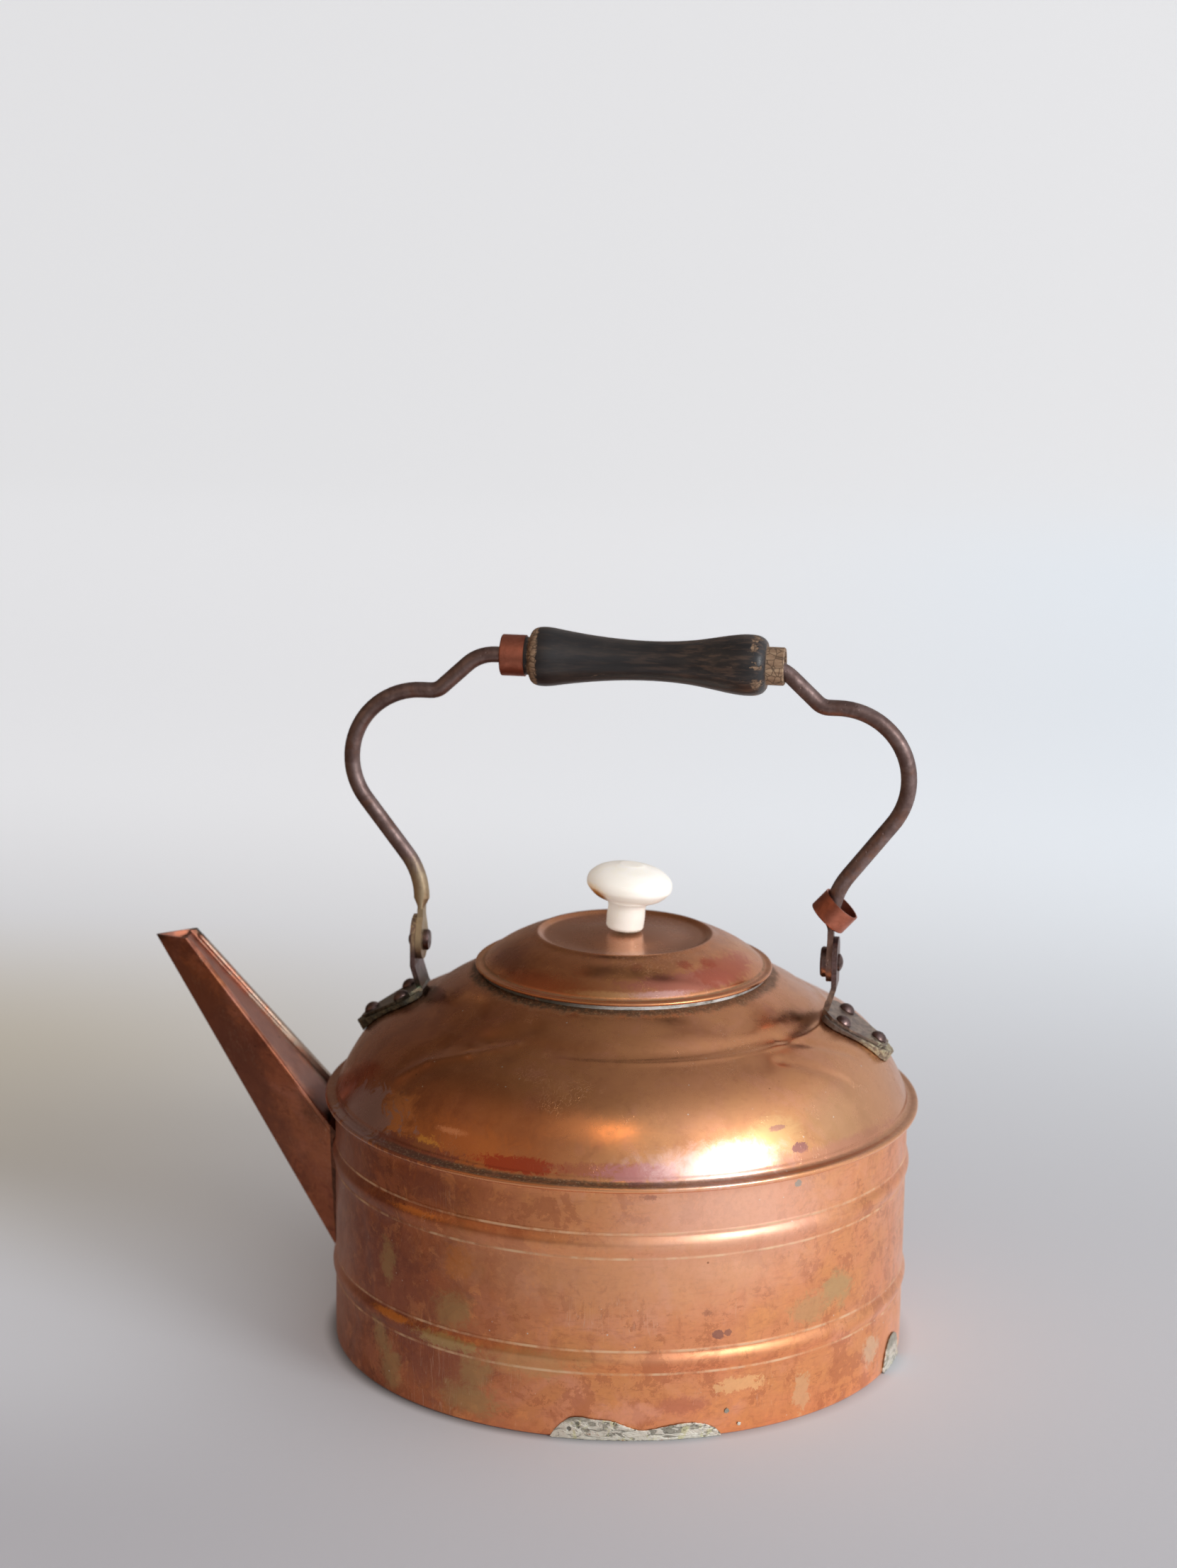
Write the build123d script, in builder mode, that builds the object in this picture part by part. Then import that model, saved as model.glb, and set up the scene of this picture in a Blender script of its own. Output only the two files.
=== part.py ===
from build123d import *

import math
import os

os.makedirs("parts", exist_ok=True)

# Copper range kettle with a swinging bail handle. All sizes in millimetres.
# Origin: centre of the flat underside. +Z up, spout towards -X, bail pivots
# on an axis along X.

# ---- driving dimensions -------------------------------------------------
WALL_R = 109.0            # outside radius of the straight wall
SHEET = 0.9               # copper sheet of the wall
DOME_SHEET = 0.8          # copper sheet of shoulder, lid and spout
SEAM_R = 113.0            # outside radius of the rolled rim seam
SEAM_Z = 94.5             # underside of the wall's flange in the seam
STEP_R = 73.0             # pressed step between shoulder and neck
MOUTH_R = 54.6            # outside radius of the tinned collar in the mouth
COLLAR_TOP = 145.25
BRIM_Z = 145.3            # underside of the lid's brim
BRIM_R = 56.3
KNOB_Z = 159.15           # foot of the knob
KNOB_LEAN = 5.5           # the knob leans towards +X, degrees

PIVOT_X = 78.2            # middle of each bail ear
PIVOT_Z = 150.6
EAR = 2.2                 # thickness of the flattened bail ear
GAP = 0.05                # side play between ear, bracket and rivet head
ROD_R = 3.0
TAB = 1.9                 # bracket sheet
GRIP_Z = PIVOT_Z + 111.8  # middle of the straight top of the bail

TIP = (-183.7, 146.7)     # spout lip, (x, z)
CORNER = (-168.6, 8.6, 148.0)   # mouth corner of the spout, (x, y, z)
KEEL_FOOT = (-109.0, 17.6)      # where the keel meets the wall, (x, z)
TOP_FOOT = (-107.4, 77.0)       # where the flat top meets the wall, (x, z)
INSIDE_X = -101.0         # the spout is drawn on to here, then trimmed


def cap_middle(radius, height):
    """Half-way point of a spherical cap's profile, as (out, up from its rim)."""
    ball = (radius ** 2 + height ** 2) / (2 * height)
    half = math.asin(radius / ball) / 2
    return ball * math.sin(half), height - ball * (1 - math.cos(half))


def revolved(points_and_curves):
    """Turn a closed outline, drawn in the XZ plane, about the Z axis."""
    with BuildPart() as turned:
        with BuildSketch(Plane.XZ):
            with BuildLine():
                points_and_curves()
            make_face()
        revolve(axis=Axis.Z)
    return turned.part


# ---- body wall ----------------------------------------------------------
BEADS = ((24.9, 33.5), (68.3, 77.5))   # raised hoops rolled into the wall
BEAD_OUT = 1.4


def wall_side(radius, low_trim, flange_z):
    """One face of the wall sheet, as a list of line pieces drawn in order."""
    pieces = []
    z = 0.0
    for low, high in BEADS:
        pieces.append(((radius, z), (radius, low + low_trim)))
        mid = (radius + BEAD_OUT, (low + high) / 2)
        pieces.append(((radius, low + low_trim), mid, (radius, high - low_trim)))
        z = high - low_trim
    pieces.append(((radius, z), (radius, flange_z)))
    return pieces


def wall_outline():
    inner = WALL_R - SHEET
    for piece in wall_side(WALL_R, 0.0, SEAM_Z - 0.6):
        if len(piece) == 2:
            Line(*piece)
        else:
            ThreePointArc(*piece)
    for piece in wall_side(inner, 0.35, SEAM_Z + SHEET - 0.6):
        if len(piece) == 2:
            Line(*piece)
        else:
            ThreePointArc(*piece)
    Line((inner, 0), (WALL_R, 0))
    # outward flange that the shoulder is folded round
    Line((WALL_R, SEAM_Z - 0.6), (WALL_R + 0.6, SEAM_Z))
    Line((WALL_R + 0.6, SEAM_Z), (SEAM_R - 0.8, SEAM_Z))
    Line((SEAM_R - 0.8, SEAM_Z), (SEAM_R - 0.8, SEAM_Z + SHEET))
    Line((SEAM_R - 0.8, SEAM_Z + SHEET), (inner + 0.6, SEAM_Z + SHEET))
    Line((inner + 0.6, SEAM_Z + SHEET), (inner, SEAM_Z + SHEET - 0.6))


wall_shell = revolved(wall_outline)

STRAINER_R = 2.3
STRAINER_ROWS = ((62.0, 5), (54.5, 4), (47.0, 3), (39.5, 2))

with BuildPart() as body_wall:
    add(wall_shell)
    # strainer holes that let the water into the spout
    for row_z, count in STRAINER_ROWS:
        for k in range(count):
            y = (k - (count - 1) / 2) * 6.2
            with Locations(Location((-WALL_R, y, row_z), (0, 90, 0))):
                Cylinder(STRAINER_R, 14, mode=Mode.SUBTRACT)
body_wall.part.label = "body_wall"
export_step(body_wall.part, "parts/body_wall.step")


def wall_blank():
    """The wall as a solid drum, used to trim what is soldered to it."""
    def outline():
        for piece in wall_side(WALL_R, 0.0, SEAM_Z - 0.6):
            if len(piece) == 2:
                Line(*piece)
            else:
                ThreePointArc(*piece)
        Line((WALL_R, SEAM_Z - 0.6), (0, SEAM_Z - 0.6))
        Line((0, SEAM_Z - 0.6), (0, 0))
        Line((0, 0), (WALL_R, 0))
    return revolved(outline)


drum = wall_blank()


# ---- base pan -----------------------------------------------------------
with BuildPart() as base_pan:
    Cylinder(WALL_R - SHEET, 8.0, align=(Align.CENTER, Align.CENTER, Align.MIN))
    fillet(base_pan.edges().filter_by(GeomType.CIRCLE).group_by(Axis.Z)[0], 1.4)
    with Locations((0, 0, 1.0)):
        Cylinder(WALL_R - 2 * SHEET, 7.0,
                 align=(Align.CENTER, Align.CENTER, Align.MIN), mode=Mode.SUBTRACT)
base_pan.part.label = "base_pan"
export_step(base_pan.part, "parts/base_pan.step")


# ---- shoulder dome ------------------------------------------------------
SHOULDER = ((108.3, 98.6), (106.2, 103.2), (102.0, 110.9), (96.0, 118.9),
            (88.0, 124.9), (80.0, 129.1), (STEP_R + 0.8, 132.3))
NECK = ((STEP_R - 0.1, 133.7), (66.0, 137.6), (60.0, 140.9), (MOUTH_R, 143.5))


def dome_face(inset):
    """Profile of one face of the shoulder sheet, set in by `inset`."""
    def shifted(points):
        moved = []
        for i, (r, z) in enumerate(points):
            a = points[max(0, i - 1)]
            b = points[min(len(points) - 1, i + 1)]
            dr, dz = b[0] - a[0], b[1] - a[1]
            n = math.hypot(dr, dz)
            moved.append((r - inset * dz / n, z + inset * dr / n))
        return moved
    return shifted(SHOULDER), shifted(NECK)


def dome_outline():
    top = SEAM_Z + SHEET
    outer_s, outer_n = dome_face(0.0)
    inner_s, inner_n = dome_face(DOME_SHEET)
    outer_n[-1] = (MOUTH_R, outer_n[-1][1])
    inner_n[-1] = (MOUTH_R, outer_n[-1][1] - DOME_SHEET * 1.1)
    # rolled seam: over the wall's flange, round its edge and under it
    Line((inner_s[0][0] + 0.25, top), (SEAM_R - DOME_SHEET, top))
    Line((SEAM_R - DOME_SHEET, top), (SEAM_R - DOME_SHEET, SEAM_Z))
    Line((SEAM_R - DOME_SHEET, SEAM_Z), (WALL_R + 1.4, SEAM_Z))
    Line((WALL_R + 1.4, SEAM_Z), (WALL_R + 1.4, SEAM_Z - DOME_SHEET))
    Line((WALL_R + 1.4, SEAM_Z - DOME_SHEET), (SEAM_R - 0.8, SEAM_Z - DOME_SHEET))
    ThreePointArc((SEAM_R - 0.8, SEAM_Z - DOME_SHEET), (SEAM_R, SEAM_Z + SHEET / 2),
                  (SEAM_R - 0.8, top + DOME_SHEET))
    Line((SEAM_R - 0.8, top + DOME_SHEET), (outer_s[0][0] + 1.6, top + DOME_SHEET))
    # small cove, then the shoulder, the pressed step and the neck
    ThreePointArc((outer_s[0][0] + 1.6, top + DOME_SHEET),
                  (outer_s[0][0] + 0.55, top + DOME_SHEET + 0.75), outer_s[0])
    Spline(*outer_s)
    Line(outer_s[-1], outer_n[0])
    Spline(*outer_n)
    Line(outer_n[-1], inner_n[-1])
    Spline(*reversed(inner_n))
    Line(inner_n[0], inner_s[-1])
    Spline(*reversed(inner_s))
    Line(inner_s[0], (inner_s[0][0] + 0.25, top))


dome_sheet = revolved(dome_outline)


def dome_blank():
    """Everything under the outer face of the shoulder, for trimming."""
    def outline():
        outer_s, outer_n = dome_face(0.0)
        Line((0, 90), (outer_s[0][0], 90))
        Line((outer_s[0][0], 90), outer_s[0])
        Spline(*outer_s)
        Line(outer_s[-1], outer_n[0])
        Spline(*outer_n)
        Line(outer_n[-1], (0, outer_n[-1][1]))
        Line((0, outer_n[-1][1]), (0, 90))
    return revolved(outline)


dome_solid = dome_blank()


# ---- handle brackets ----------------------------------------------------
# Each bracket is a strip of sheet: a foot plate that lies on the sloping
# shoulder and an upright tab that holds the pivot rivet. Drawn for the rear
# (+X) side and mirrored for the spout side.
FOOT_SLOPE = 31.0
FOOT_BEND = (76.2, 132.6)         # underside of the plate at the bend (x, z)
FOOT_LENGTH = 29.5
TAB_IN = PIVOT_X + EAR / 2 + GAP  # inner face of the upright
RIVET_SPOTS = ((8.6, -8.2), (8.6, 8.2), (23.6, 0.0))
RIVET_HOLE = 1.6

slope = math.radians(FOOT_SLOPE)
foot_plane = Plane(
    origin=(FOOT_BEND[0], 0, FOOT_BEND[1]),
    x_dir=(math.cos(slope), 0, -math.sin(slope)),
    z_dir=(math.sin(slope), 0, math.cos(slope)),
)


def bracket_blank():
    with BuildPart() as blank:
        # foot plate, widest by the two side rivets, rounded at its tip
        with BuildSketch(foot_plane):
            with BuildLine():
                Polyline((0, -7.4), (4.2, -11.4), (12.0, -11.4), (25.5, -5.6))
                ThreePointArc((25.5, -5.6), (FOOT_LENGTH, 0), (25.5, 5.6))
                Polyline((25.5, 5.6), (12.0, 11.4), (4.2, 11.4), (0, 7.4), (0, -7.4))
            make_face()
        extrude(amount=TAB)
        # upright: leans out from the bend, then stands square to the pivot
        with BuildSketch(Plane.XZ):
            with BuildLine():
                Polyline(
                    (FOOT_BEND[0] + 0.4, FOOT_BEND[1] + 0.4),
                    (TAB_IN, PIVOT_Z - 8.6),
                    (TAB_IN, PIVOT_Z + 12),
                    (TAB_IN + TAB, PIVOT_Z + 12),
                    (TAB_IN + TAB, PIVOT_Z - 8.9),
                    (FOOT_BEND[0] + 2.6, FOOT_BEND[1] + 1.0),
                    (FOOT_BEND[0] + 0.4, FOOT_BEND[1] + 0.4),
                )
            make_face()
        extrude(amount=7.4, both=True)
        # round top, concentric with the pivot
        with BuildSketch(Plane.YZ.offset(60)):
            with BuildLine():
                Polyline((-20, 120), (-20, PIVOT_Z), (-7.4, PIVOT_Z))
                ThreePointArc((-7.4, PIVOT_Z), (0, PIVOT_Z + 9.8), (7.4, PIVOT_Z))
                Polyline((7.4, PIVOT_Z), (20, PIVOT_Z), (20, 120), (-20, 120))
            make_face()
        extrude(amount=70, mode=Mode.INTERSECT)
        # the underside beds down on the shoulder
        add(dome_solid, mode=Mode.SUBTRACT)
    return blank.part


def rivet_plane(spot):
    u, v = spot
    return Plane(origin=foot_plane.from_local_coords((u, v, 0)),
                 x_dir=foot_plane.x_dir, z_dir=foot_plane.z_dir)


def bracket_with_holes():
    with BuildPart() as made:
        add(bracket_blank())
        for spot in RIVET_SPOTS:
            with BuildSketch(rivet_plane(spot)):
                Circle(RIVET_HOLE)
            extrude(amount=10, both=True, mode=Mode.SUBTRACT)
        with BuildSketch(Plane.YZ.offset(TAB_IN - 3)):
            with Locations((0, PIVOT_Z)):
                Circle(2.0)
        extrude(amount=8, mode=Mode.SUBTRACT)
    return made.part


rear_shape = bracket_with_holes()

with BuildPart() as rear_bracket:
    add(rear_shape)
rear_bracket.part.label = "rear_bracket"
export_step(rear_bracket.part, "parts/rear_bracket.step")

with BuildPart() as spout_bracket:
    add(rear_shape)
    mirror(about=Plane.YZ, mode=Mode.REPLACE)
spout_bracket.part.label = "spout_bracket"
export_step(spout_bracket.part, "parts/spout_bracket.step")


# ---- shoulder with its rivet holes --------------------------------------
with BuildPart() as shoulder_dome:
    add(dome_sheet)
    for side in (1, -1):
        for spot in RIVET_SPOTS:
            p = rivet_plane(spot)
            spot_plane = Plane(
                origin=(side * p.origin.X, p.origin.Y, p.origin.Z),
                x_dir=(0, 1, 0),
                z_dir=(side * p.z_dir.X, p.z_dir.Y, p.z_dir.Z),
            )
            with BuildSketch(spot_plane):
                Circle(RIVET_HOLE)
            extrude(amount=9, both=True, mode=Mode.SUBTRACT)
shoulder_dome.part.label = "shoulder_dome"
export_step(shoulder_dome.part, "parts/shoulder_dome.step")


# ---- bracket rivets -----------------------------------------------------
HEAD_R = 3.1
HEAD_H = 2.4


def one_rivet(spot):
    """Snap-head rivet through foot plate and shoulder, set flat inside."""
    out, up = cap_middle(HEAD_R, HEAD_H - 0.5)
    with BuildPart() as made:
        with BuildSketch(Plane.XZ):
            with BuildLine():
                Line((0, 0), (HEAD_R, 0))
                Line((HEAD_R, 0), (HEAD_R, 0.5))
                ThreePointArc((HEAD_R, 0.5), (out, 0.5 + up), (0, HEAD_H))
                Line((0, HEAD_H), (0, 0))
            make_face()
        revolve(axis=Axis.Z)
        with BuildSketch(Plane.XY):
            Circle(RIVET_HOLE - 0.01)
        extrude(amount=-7.5)
    p = rivet_plane(spot)
    head = Plane(origin=p.origin + p.z_dir * TAB, x_dir=p.x_dir, z_dir=p.z_dir)
    placed = head.location * made.part
    # flat tail against the underside of the sheet
    with BuildPart() as tail:
        with BuildSketch(head.offset(-7.5)):
            Circle(2.7)
        extrude(amount=5.4)
        add(shoulder_dome.part, mode=Mode.SUBTRACT)
        add(dome_top_cover, mode=Mode.SUBTRACT)
    return placed, tail.part


with BuildPart() as dome_top_cover_part:
    # the space above the mid-line of the shoulder sheet
    with Locations((0, 0, 90)):
        Cylinder(125, 70, align=(Align.CENTER, Align.CENTER, Align.MIN))
    add(dome_solid, mode=Mode.SUBTRACT)
dome_top_cover = dome_top_cover_part.part

with BuildPart() as bracket_rivets:
    for spot in RIVET_SPOTS:
        shaft, tail = one_rivet(spot)
        add(shaft)
        add(tail)
    mirror(about=Plane.YZ)
bracket_rivets.part.label = "bracket_rivets"
export_step(bracket_rivets.part, "parts/bracket_rivets.step")


# ---- solder round the bracket feet --------------------------------------
with BuildPart() as foot_solder:
    with BuildSketch(foot_plane.offset(-4.0)):
        with BuildLine():
            Spline((3.0, -12.3), (9.0, -13.2), (14.0, -11.9), (20.0, -9.9), (27.0, -7.0),
                   (31.2, 0.6), (27.2, 6.4), (18.0, 10.3), (11.0, 12.9), (4.0, 12.2),
                   (2.2, 0.0), periodic=True)
        make_face()
    extrude(amount=4.9)
    add(dome_solid, mode=Mode.SUBTRACT)
    add(rear_shape, mode=Mode.SUBTRACT)
    for spot in RIVET_SPOTS:
        with BuildSketch(rivet_plane(spot)):
            Circle(HEAD_R + 0.05)
        extrude(amount=8, both=True, mode=Mode.SUBTRACT)

with BuildPart() as bracket_solder:
    for piece in foot_solder.part.solids():
        if piece.volume > 1.0:
            add(piece)
    mirror(about=Plane.YZ)
bracket_solder.part.label = "bracket_solder"
export_step(bracket_solder.part, "parts/bracket_solder.step")


# ---- pivot rivets -------------------------------------------------------
PIN_R = 2.0


def pivot_rivet(inner_r, inner_h, outer_r, outer_h):
    """Rivet along X on the +X side: inner head, pin, domed outer head."""
    ear_face = PIVOT_X - EAR / 2 - GAP
    tab_face = TAB_IN + TAB
    rim = outer_h * 0.35
    out, up = cap_middle(outer_r, outer_h - rim)
    with BuildPart() as made:
        with BuildSketch(Plane.XZ):
            with BuildLine():
                Polyline((ear_face - inner_h, 0), (ear_face - inner_h, inner_r - 0.6),
                         (ear_face - inner_h + 0.6, inner_r), (ear_face, inner_r),
                         (ear_face, PIN_R), (tab_face, PIN_R), (tab_face, outer_r),
                         (tab_face + rim, outer_r))
                ThreePointArc((tab_face + rim, outer_r), (tab_face + rim + up, out),
                              (tab_face + outer_h, 0))
                Line((tab_face + outer_h, 0), (ear_face - inner_h, 0))
            make_face()
        revolve(axis=Axis.X)
    return Pos(0, 0, PIVOT_Z) * made.part


with BuildPart() as rear_pivot_rivet:
    add(pivot_rivet(5.75, 2.3, 3.25, 1.9))
rear_pivot_rivet.part.label = "rear_pivot_rivet"
export_step(rear_pivot_rivet.part, "parts/rear_pivot_rivet.step")

with BuildPart() as spout_pivot_rivet:
    add(pivot_rivet(4.0, 2.0, 3.2, 2.0))
    mirror(about=Plane.YZ, mode=Mode.REPLACE)
spout_pivot_rivet.part.label = "spout_pivot_rivet"
export_step(spout_pivot_rivet.part, "parts/spout_pivot_rivet.step")


# ---- mouth collar -------------------------------------------------------
with BuildPart() as mouth_collar:
    with Locations((0, 0, 137.0)):
        Cylinder(MOUTH_R, COLLAR_TOP - 137.0, align=(Align.CENTER, Align.CENTER, Align.MIN))
        Cylinder(MOUTH_R - 0.8, COLLAR_TOP - 137.0,
                 align=(Align.CENTER, Align.CENTER, Align.MIN), mode=Mode.SUBTRACT)
    fillet(mouth_collar.edges().filter_by(GeomType.CIRCLE).group_by(Axis.Z)[-1], 0.3)
mouth_collar.part.label = "mouth_collar"
export_step(mouth_collar.part, "parts/mouth_collar.step")


# ---- spout --------------------------------------------------------------
def spout_wedge(side_in, top_in, past_mouth):
    """Three-sided spout body: flat top, two flat sides meeting in a keel."""
    tip = Vector(TIP[0], 0, TIP[1])
    keel = Vector(KEEL_FOOT[0], 0, KEEL_FOOT[1])
    corner = Vector(CORNER[0], -CORNER[1], CORNER[2])
    side = (keel - tip).cross(corner - tip).normalized()
    run = (TOP_FOOT[0] - CORNER[0], TOP_FOOT[1] - CORNER[2])
    n = math.hypot(*run)
    up = (-run[1] / n, run[0] / n)            # normal of the flat top
    along = (run[0] / n, run[1] / n)
    down = (KEEL_FOOT[0] - TIP[0], KEEL_FOOT[1] - TIP[1])
    m = math.hypot(*down)
    down = (down[0] / m, down[1] / m)
    a = (CORNER[0] - along[0] * past_mouth - up[0] * top_in,
         CORNER[2] - along[1] * past_mouth - up[1] * top_in)
    reach = (INSIDE_X - a[0]) / along[0]
    b = (INSIDE_X, a[1] + along[1] * reach)
    t = (TIP[0] - down[0] * past_mouth, TIP[1] - down[1] * past_mouth)
    k = (INSIDE_X, TIP[1] + down[1] * (INSIDE_X - TIP[0]) / down[0])
    with BuildPart() as wedge:
        with BuildSketch(Plane.XZ):
            with BuildLine():
                Polyline(a, b, k, t, a)
            make_face()
        extrude(amount=30, both=True)
        for y in (1, -1):
            normal = Vector(side.X, side.Y * y, side.Z)
            if normal.dot(Vector(0, -y, 0)) < 0:
                normal = normal * -1
            split(bisect_by=Plane(origin=tip - normal * side_in, z_dir=normal),
                  keep=Keep.BOTTOM)
    return wedge.part


HEM_W = 3.0               # width of the folded hem along each top edge
HEM_T = 1.6               # its depth, so the flat top lies in a channel

with BuildPart() as spout_side_shell:
    add(spout_wedge(0.0, 0.0, 0.0))
    long_edges = [e for e in spout_side_shell.edges()
                  if e.length > 60 and abs((e @ 1 - e @ 0).normalized().Z) > 0.4]
    fillet(long_edges, 0.75)
    # hollow, then the channel between the two hems
    add(spout_wedge(DOME_SHEET, HEM_T, 12.0), mode=Mode.SUBTRACT)
    add(spout_wedge(HEM_W, -3.0, 12.0), mode=Mode.SUBTRACT)
    add(drum, mode=Mode.SUBTRACT)
spout_side_shell.part.label = "spout_side_shell"
export_step(spout_side_shell.part, "parts/spout_side_shell.step")

with BuildPart() as spout_top_plate:
    add(spout_wedge(DOME_SHEET, HEM_T, 0.0))
    add(spout_wedge(-5.0, HEM_T + DOME_SHEET, 12.0), mode=Mode.SUBTRACT)
    add(drum, mode=Mode.SUBTRACT)
spout_top_plate.part.label = "spout_top_plate"
export_step(spout_top_plate.part, "parts/spout_top_plate.step")

# bead of solder where the spout meets the wall
with BuildPart() as spout_solder:
    add(spout_wedge(-1.3, -1.3, 0.0))
    Cylinder(WALL_R + 2.4, 200, mode=Mode.INTERSECT)
    add(spout_wedge(-0.01, -0.01, 12.0), mode=Mode.SUBTRACT)
    add(drum, mode=Mode.SUBTRACT)
spout_solder.part.label = "spout_solder"
export_step(spout_solder.part, "parts/spout_solder.step")


# ---- solder repairs on the bottom edge ----------------------------------
def edge_patch(azimuth, draw, depth):
    """A smear of solder on the wall: outline in (across, up), cut to depth."""
    turn = math.radians(azimuth)
    plane = Plane(origin=(0, 0, 0), x_dir=(-math.sin(turn), math.cos(turn), 0),
                  z_dir=(math.cos(turn), math.sin(turn), 0))
    with BuildPart() as patch:
        with BuildSketch(plane):
            with BuildLine():
                draw()
            make_face()
        extrude(amount=140)
        Cylinder(WALL_R + depth, 40, align=(Align.CENTER, Align.CENTER, Align.MIN),
                 mode=Mode.INTERSECT)
        add(drum, mode=Mode.SUBTRACT)
    return patch.part


def long_smear():
    Line((-24.0, 0), (38.0, 0))
    Spline((38.0, 0), (36.6, 2.4), (32.0, 5.2), (26.9, 6.2), (16.0, 5.0), (8.0, 4.3),
           (-1.0, 7.5), (-9.0, 8.1), (-14.6, 8.6), (-22.0, 3.2), (-24.0, 0))


def short_smear():
    Line((-10.5, 0), (9.5, 0))
    Spline((9.5, 0), (9.0, 5.5), (4.0, 11.6), (-2.5, 12.4), (-8.2, 8.0), (-10.5, 0))


with BuildPart() as solder_repairs:
    add(edge_patch(-82.0, long_smear, 0.9))
    add(edge_patch(-10.5, short_smear, 0.9))
    # two stray drops beside the long smear
    add(edge_patch(-60.8, lambda: CenterArc((0, 9.0), 1.1, 0, 360), 0.7))
    add(edge_patch(-58.2, lambda: CenterArc((0, 3.4), 1.0, 0, 360), 0.7))
solder_repairs.part.label = "solder_repairs"
export_step(solder_repairs.part, "parts/solder_repairs.step")


# ---- lid ----------------------------------------------------------------
LID_DOME = ((52.6, 147.2), (50.6, 149.0), (47.0, 151.6), (43.0, 153.8),
            (38.0, 156.1), (34.4, 157.6))
LID_DISH = ((30.7, 157.0), (27.0, 156.7), (18.0, 157.4), (9.0, 158.1), (2.4, 158.5))


def lid_outline():
    t = DOME_SHEET
    brim_top = BRIM_Z + t
    # top face, from the brim inwards
    Line((BRIM_R - 0.6, brim_top), (53.6, brim_top))
    ThreePointArc((53.6, brim_top), (52.95, 146.45), LID_DOME[0])
    Spline(*LID_DOME)
    ThreePointArc(LID_DOME[-1], (32.5, 158.1), LID_DISH[0])
    Spline(*LID_DISH)
    # underside, from the middle outwards
    Line(LID_DISH[-1], (2.4, 158.5 - t))
    low_dish = [(r, z - t) for r, z in reversed(LID_DISH)]
    Spline(*low_dish)
    low_dome = [(r - 0.45, z - t) for r, z in reversed(LID_DOME)]
    ThreePointArc(low_dish[-1], (32.4, 157.25), low_dome[0])
    Spline(*low_dome)
    Line(low_dome[-1], (51.9, BRIM_Z))
    Line((51.9, BRIM_Z), (BRIM_R - 1.3, BRIM_Z))
    # small roll at the edge of the brim
    Line((BRIM_R - 1.3, BRIM_Z), (BRIM_R - 1.3, BRIM_Z - 0.4))
    ThreePointArc((BRIM_R - 1.3, BRIM_Z - 0.4), (BRIM_R, BRIM_Z + 0.1), (BRIM_R - 0.6, brim_top))


with BuildPart() as lid_cover:
    add(revolved(lid_outline))
lid_cover.part.label = "lid_cover"
export_step(lid_cover.part, "parts/lid_cover.step")

SKIRT_R = 53.4
with BuildPart() as lid_skirt:
    with Locations((0, 0, 135.3)):
        Cylinder(SKIRT_R, BRIM_Z - 135.3, align=(Align.CENTER, Align.CENTER, Align.MIN))
        Cylinder(SKIRT_R - 0.8, BRIM_Z - 135.3,
                 align=(Align.CENTER, Align.CENTER, Align.MIN), mode=Mode.SUBTRACT)
    fillet(lid_skirt.edges().filter_by(GeomType.CIRCLE).group_by(Axis.Z)[0], 0.3)
lid_skirt.part.label = "lid_skirt"
export_step(lid_skirt.part, "parts/lid_skirt.step")

# the knob, its screw and its washer lean together about the foot of the knob
lean = Pos(0, 0, KNOB_Z) * Rot(0, KNOB_LEAN, 0)

with BuildPart() as knob_shape:
    with BuildSketch(Plane.XZ):
        with BuildLine():
            Line((0, 0), (5.2, 0))
            ThreePointArc((5.2, 0), (6.65, 0.6), (7.1, 2.0))
            Spline((7.1, 2.0), (7.2, 6.0), (7.55, 10.4), (8.5, 11.4),
                   tangents=((0.02, 1), (1, 0.35)))
            Spline((8.5, 11.4), (12.6, 13.0), (15.4, 15.6), (16.2, 17.9),
                   tangents=((1, 0.35), (0, 1)))
            Spline((16.2, 17.9), (14.7, 21.3), (10.4, 23.9), (5.2, 25.2), (0, 25.6),
                   tangents=((0, 1), (-1, 0)))
            Line((0, 25.6), (0, 0))
        make_face()
    revolve(axis=Axis.Z)
    Cylinder(2.05, 10.5, align=(Align.CENTER, Align.CENTER, Align.MIN), mode=Mode.SUBTRACT)

with BuildPart() as lid_knob:
    add(lean * knob_shape.part)
lid_knob.part.label = "lid_knob"
export_step(lid_knob.part, "parts/lid_knob.step")

WASHER_TOP = -2.5
with BuildPart() as washer_shape:
    with Locations((0, 0, WASHER_TOP)):
        Cylinder(6.0, 1.0, align=(Align.CENTER, Align.CENTER, Align.MAX))
        Cylinder(2.05, 1.0, align=(Align.CENTER, Align.CENTER, Align.MAX), mode=Mode.SUBTRACT)

with BuildPart() as knob_washer:
    add(lean * washer_shape.part)
knob_washer.part.label = "knob_washer"
export_step(knob_washer.part, "parts/knob_washer.step")

with BuildPart() as screw_shape:
    with BuildSketch(Plane.XZ):
        with BuildLine():
            Line((0, 9.8), (2.0, 9.8))
            Line((2.0, 9.8), (2.0, WASHER_TOP - 1.0))
            Line((2.0, WASHER_TOP - 1.0), (3.8, WASHER_TOP - 1.0))
            ThreePointArc((3.8, WASHER_TOP - 1.0), (2.8, WASHER_TOP - 2.6),
                          (0, WASHER_TOP - 3.2))
            Line((0, WASHER_TOP - 3.2), (0, 9.8))
        make_face()
    revolve(axis=Axis.Z)
    with Locations((0, 0, WASHER_TOP - 3.2)):
        Box(9, 1.0, 2.2, mode=Mode.SUBTRACT)

with BuildPart() as knob_screw:
    add(lean * screw_shape.part)
knob_screw.part.label = "knob_screw"
export_step(knob_screw.part, "parts/knob_screw.step")


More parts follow.
